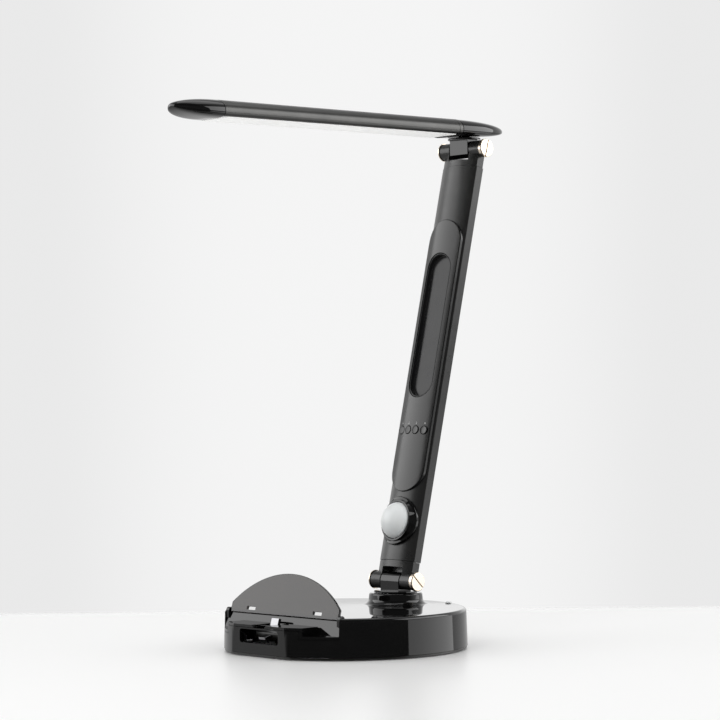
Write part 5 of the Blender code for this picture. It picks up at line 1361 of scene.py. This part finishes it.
@dataclass
class Studio:
    """The pale table and background, the soft boxes and the camera of the photograph.

    The room's edges are pairs: where a change of its brightness starts and ends, ahead of the
    camera or in height. Its high and low levels are shares of the middle height's brightness.
    """

    camera_at: Point = (1.2886, -1.1995, 0.1821)
    lens: float = 117.5
    sensor_width: float = 36.0
    clip: Pair = (0.05, 50.0)
    azimuth: float = 46.637
    pitch: float = 1.086
    roll: float = -0.598
    backdrop: Pair = (0.91, 0.82)
    backdrop_edge: Pair = (0.0, 0.018)
    ambient: float = 0.60
    dark: float = 0.12
    room_edge: Pair = (-0.55, 0.16)
    high_edge: Pair = (0.30, 0.62)
    high_level: float = 0.42
    low_edge: Pair = (-0.05, 0.0)
    low_level: float = 0.62
    table_half: float = 4.0
    table_back: float = 0.32
    table_fade: float = 0.015
    table_near: float = 0.6
    table_reach: float = 1.0
    table_colour: Colour = (0.94, 0.94, 0.935)
    table_shade: Colour = (0.96, 0.96, 0.955)
    table_grain: float = 3.0
    table_roughness: float = 0.35
    table_specular: float = 0.25
    aim: Point = (0.0, 0.03, 0.20)
    distance: float = 1.5

    def forward(self) -> Array:
        """The level direction in which the photograph looks."""
        angle = math.radians(self.azimuth)
        return np.array([-math.sin(angle), math.cos(angle), 0.0])

    def build(self) -> None:
        """Sets the stage."""
        self.camera()
        self.world()
        self.table()
        self.lights()
        bpy.context.scene.view_settings.view_transform = "Standard"

    def camera(self) -> None:
        """The camera: it looks along the azimuth, pitched up and rolled a little."""
        pitch, roll = math.radians(self.pitch), math.radians(self.roll)
        view = self.forward() * math.cos(pitch) + np.array(UP) * math.sin(pitch)
        right = np.cross(self.forward(), UP)
        up = np.cross(right, view)
        axes = np.eye(4)
        axes[:3, 0] = right * math.cos(roll) + up * math.sin(roll)
        axes[:3, 1] = up * math.cos(roll) - right * math.sin(roll)
        axes[:3, 2] = -view
        axes[:3, 3] = self.camera_at
        data = bpy.data.cameras.new("photograph")
        data.lens = self.lens
        data.sensor_width = self.sensor_width
        data.clip_start, data.clip_end = self.clip
        camera = linked("photograph", data)
        camera.matrix_world = Matrix(axes.tolist())
        bpy.context.scene.camera = camera

    def world(self) -> None:
        """A pale background that glossy surfaces see behind the lamp, with a dark room in front."""
        world = bpy.data.worlds.new("studio")
        bpy.context.scene.world = world
        world.use_nodes = True
        wiring = Wiring(world.node_tree)
        wiring.tree.nodes.clear()
        way = wiring.add("ShaderNodeTexCoord").outputs["Generated"]
        split = wiring.add("ShaderNodeSeparateXYZ")
        wiring.link(way, split.inputs["Vector"])
        height = split.outputs["Z"]
        ahead = wiring.along(way, self.forward())
        aside = wiring.along(way, np.cross(self.forward(), UP))
        shown = wiring.spread(wiring.joined("MULTIPLY", aside, aside), *self.backdrop, *self.backdrop_edge,
                              smooth=True)
        room = wiring.spread(ahead, self.dark, 1.0, *self.room_edge, smooth=True)
        for low, high, edge in (
            (1.0, self.high_level, self.high_edge),
            (self.low_level, 1.0, self.low_edge),
        ):
            room = wiring.joined("MULTIPLY", room, wiring.spread(height, low, high, *edge, smooth=True))
        path = wiring.add("ShaderNodeLightPath").outputs
        seen = wiring.joined("MAXIMUM", path["Is Camera Ray"], path["Is Transmission Ray"])
        unseen = wiring.between(path["Is Glossy Ray"], self.ambient, room)
        background = wiring.add("ShaderNodeBackground")
        wiring.link(wiring.between(seen, unseen, shown), background.inputs["Color"])
        background.inputs["Strength"].default_value = 1.0
        output = wiring.add("ShaderNodeOutputWorld")
        wiring.link(background.outputs["Background"], output.inputs["Surface"])

    def table(self) -> None:
        """The pale table, whose back edge and far surroundings fade into the background."""
        half = self.table_half
        mesh = bpy.data.meshes.new("table")
        mesh.from_pydata([(-half, -half, 0.0), (half, -half, 0.0), (half, half, 0.0), (-half, half, 0.0)],
                         [], [(0, 1, 2, 3)])
        table = linked("table", mesh)
        surface = Surface("pale_table")
        shader = surface.shader.inputs
        broad = surface.noise(surface.place(), self.table_grain)
        surface.link(surface.blend(broad, self.table_colour, self.table_shade), shader["Base Color"])
        shader["Roughness"].default_value = self.table_roughness
        shader["Specular IOR Level"].default_value = self.table_specular
        behind = surface.spread(surface.along(surface.place(), self.forward()), 0.0, 1.0,
                                self.table_back - self.table_fade, self.table_back + self.table_fade)
        away = surface.add("ShaderNodeVectorMath", operation="LENGTH")
        surface.link(surface.place(), away.inputs[0])
        far = surface.spread(away.outputs["Value"], 0.0, 1.0, self.table_near, self.table_reach)
        mix = surface.add("ShaderNodeMixShader")
        surface.link(surface.joined("MAXIMUM", behind, far), mix.inputs["Fac"])
        surface.link(surface.shader.outputs["BSDF"], mix.inputs[1])
        surface.link(surface.add("ShaderNodeBsdfTransparent").outputs["BSDF"], mix.inputs[2])
        surface.link(mix.outputs["Shader"], surface.tree.nodes["Material Output"].inputs["Surface"])
        mesh.materials.append(surface.material)
        table.visible_glossy = False

    def lights(self) -> None:
        """The soft boxes round the lamp, each with its sheet, its lamp or both."""
        for box in SOFT_BOXES:
            way = np.array(box.towards) / np.linalg.norm(box.towards)
            if box.shine:
                self.light(box.name + "_sheet", way, box.sheet, box.shine).visible_diffuse = False
            if box.level:
                self.light(box.name + "_lamp", way, box.lamp, box.level).visible_glossy = False

    def light(self, name: str, way: Array, size: Pair, level: float) -> Object:
        """A rectangular light of a given brightness that faces the middle of the lamp.

        Args:
            name: its name.
            way: the direction in which it stands.
            size: its width and height.
            level: its brightness, where 1 is white.

        Returns:
            The light.
        """
        data = bpy.data.lights.new(name, "AREA")
        data.shape = "RECTANGLE"
        data.size, data.size_y = size
        data.energy = level * math.pi * size[0] * size[1]
        light = linked(name, data)
        light.visible_camera = False
        side = np.cross(UP, way)
        side /= np.linalg.norm(side)
        turn = np.stack([side, np.cross(way, side), way], axis=-1)
        at = Matrix.Translation(self.aim) @ Matrix.Translation((way * self.distance).tolist())
        light.matrix_world = at @ Matrix(turn.tolist()).to_4x4()
        return light


def corners(box: tuple) -> list[list[float]]:
    """The lowest and highest corner of a box as plain lists."""
    return [list(corner) for corner in box]


def main() -> None:
    """Builds the lamp and its studio, and reports each piece."""
    logging.basicConfig(level=logging.INFO, format="%(name)s: %(message)s")
    for part in (RoundBase(), Dock(), Hinges(), Arm(), Head()):
        part.build()
        LOG.info("%s done", type(part).__name__)
    dress_inside()
    Studio().build()


if __name__ == "__main__":
    main()
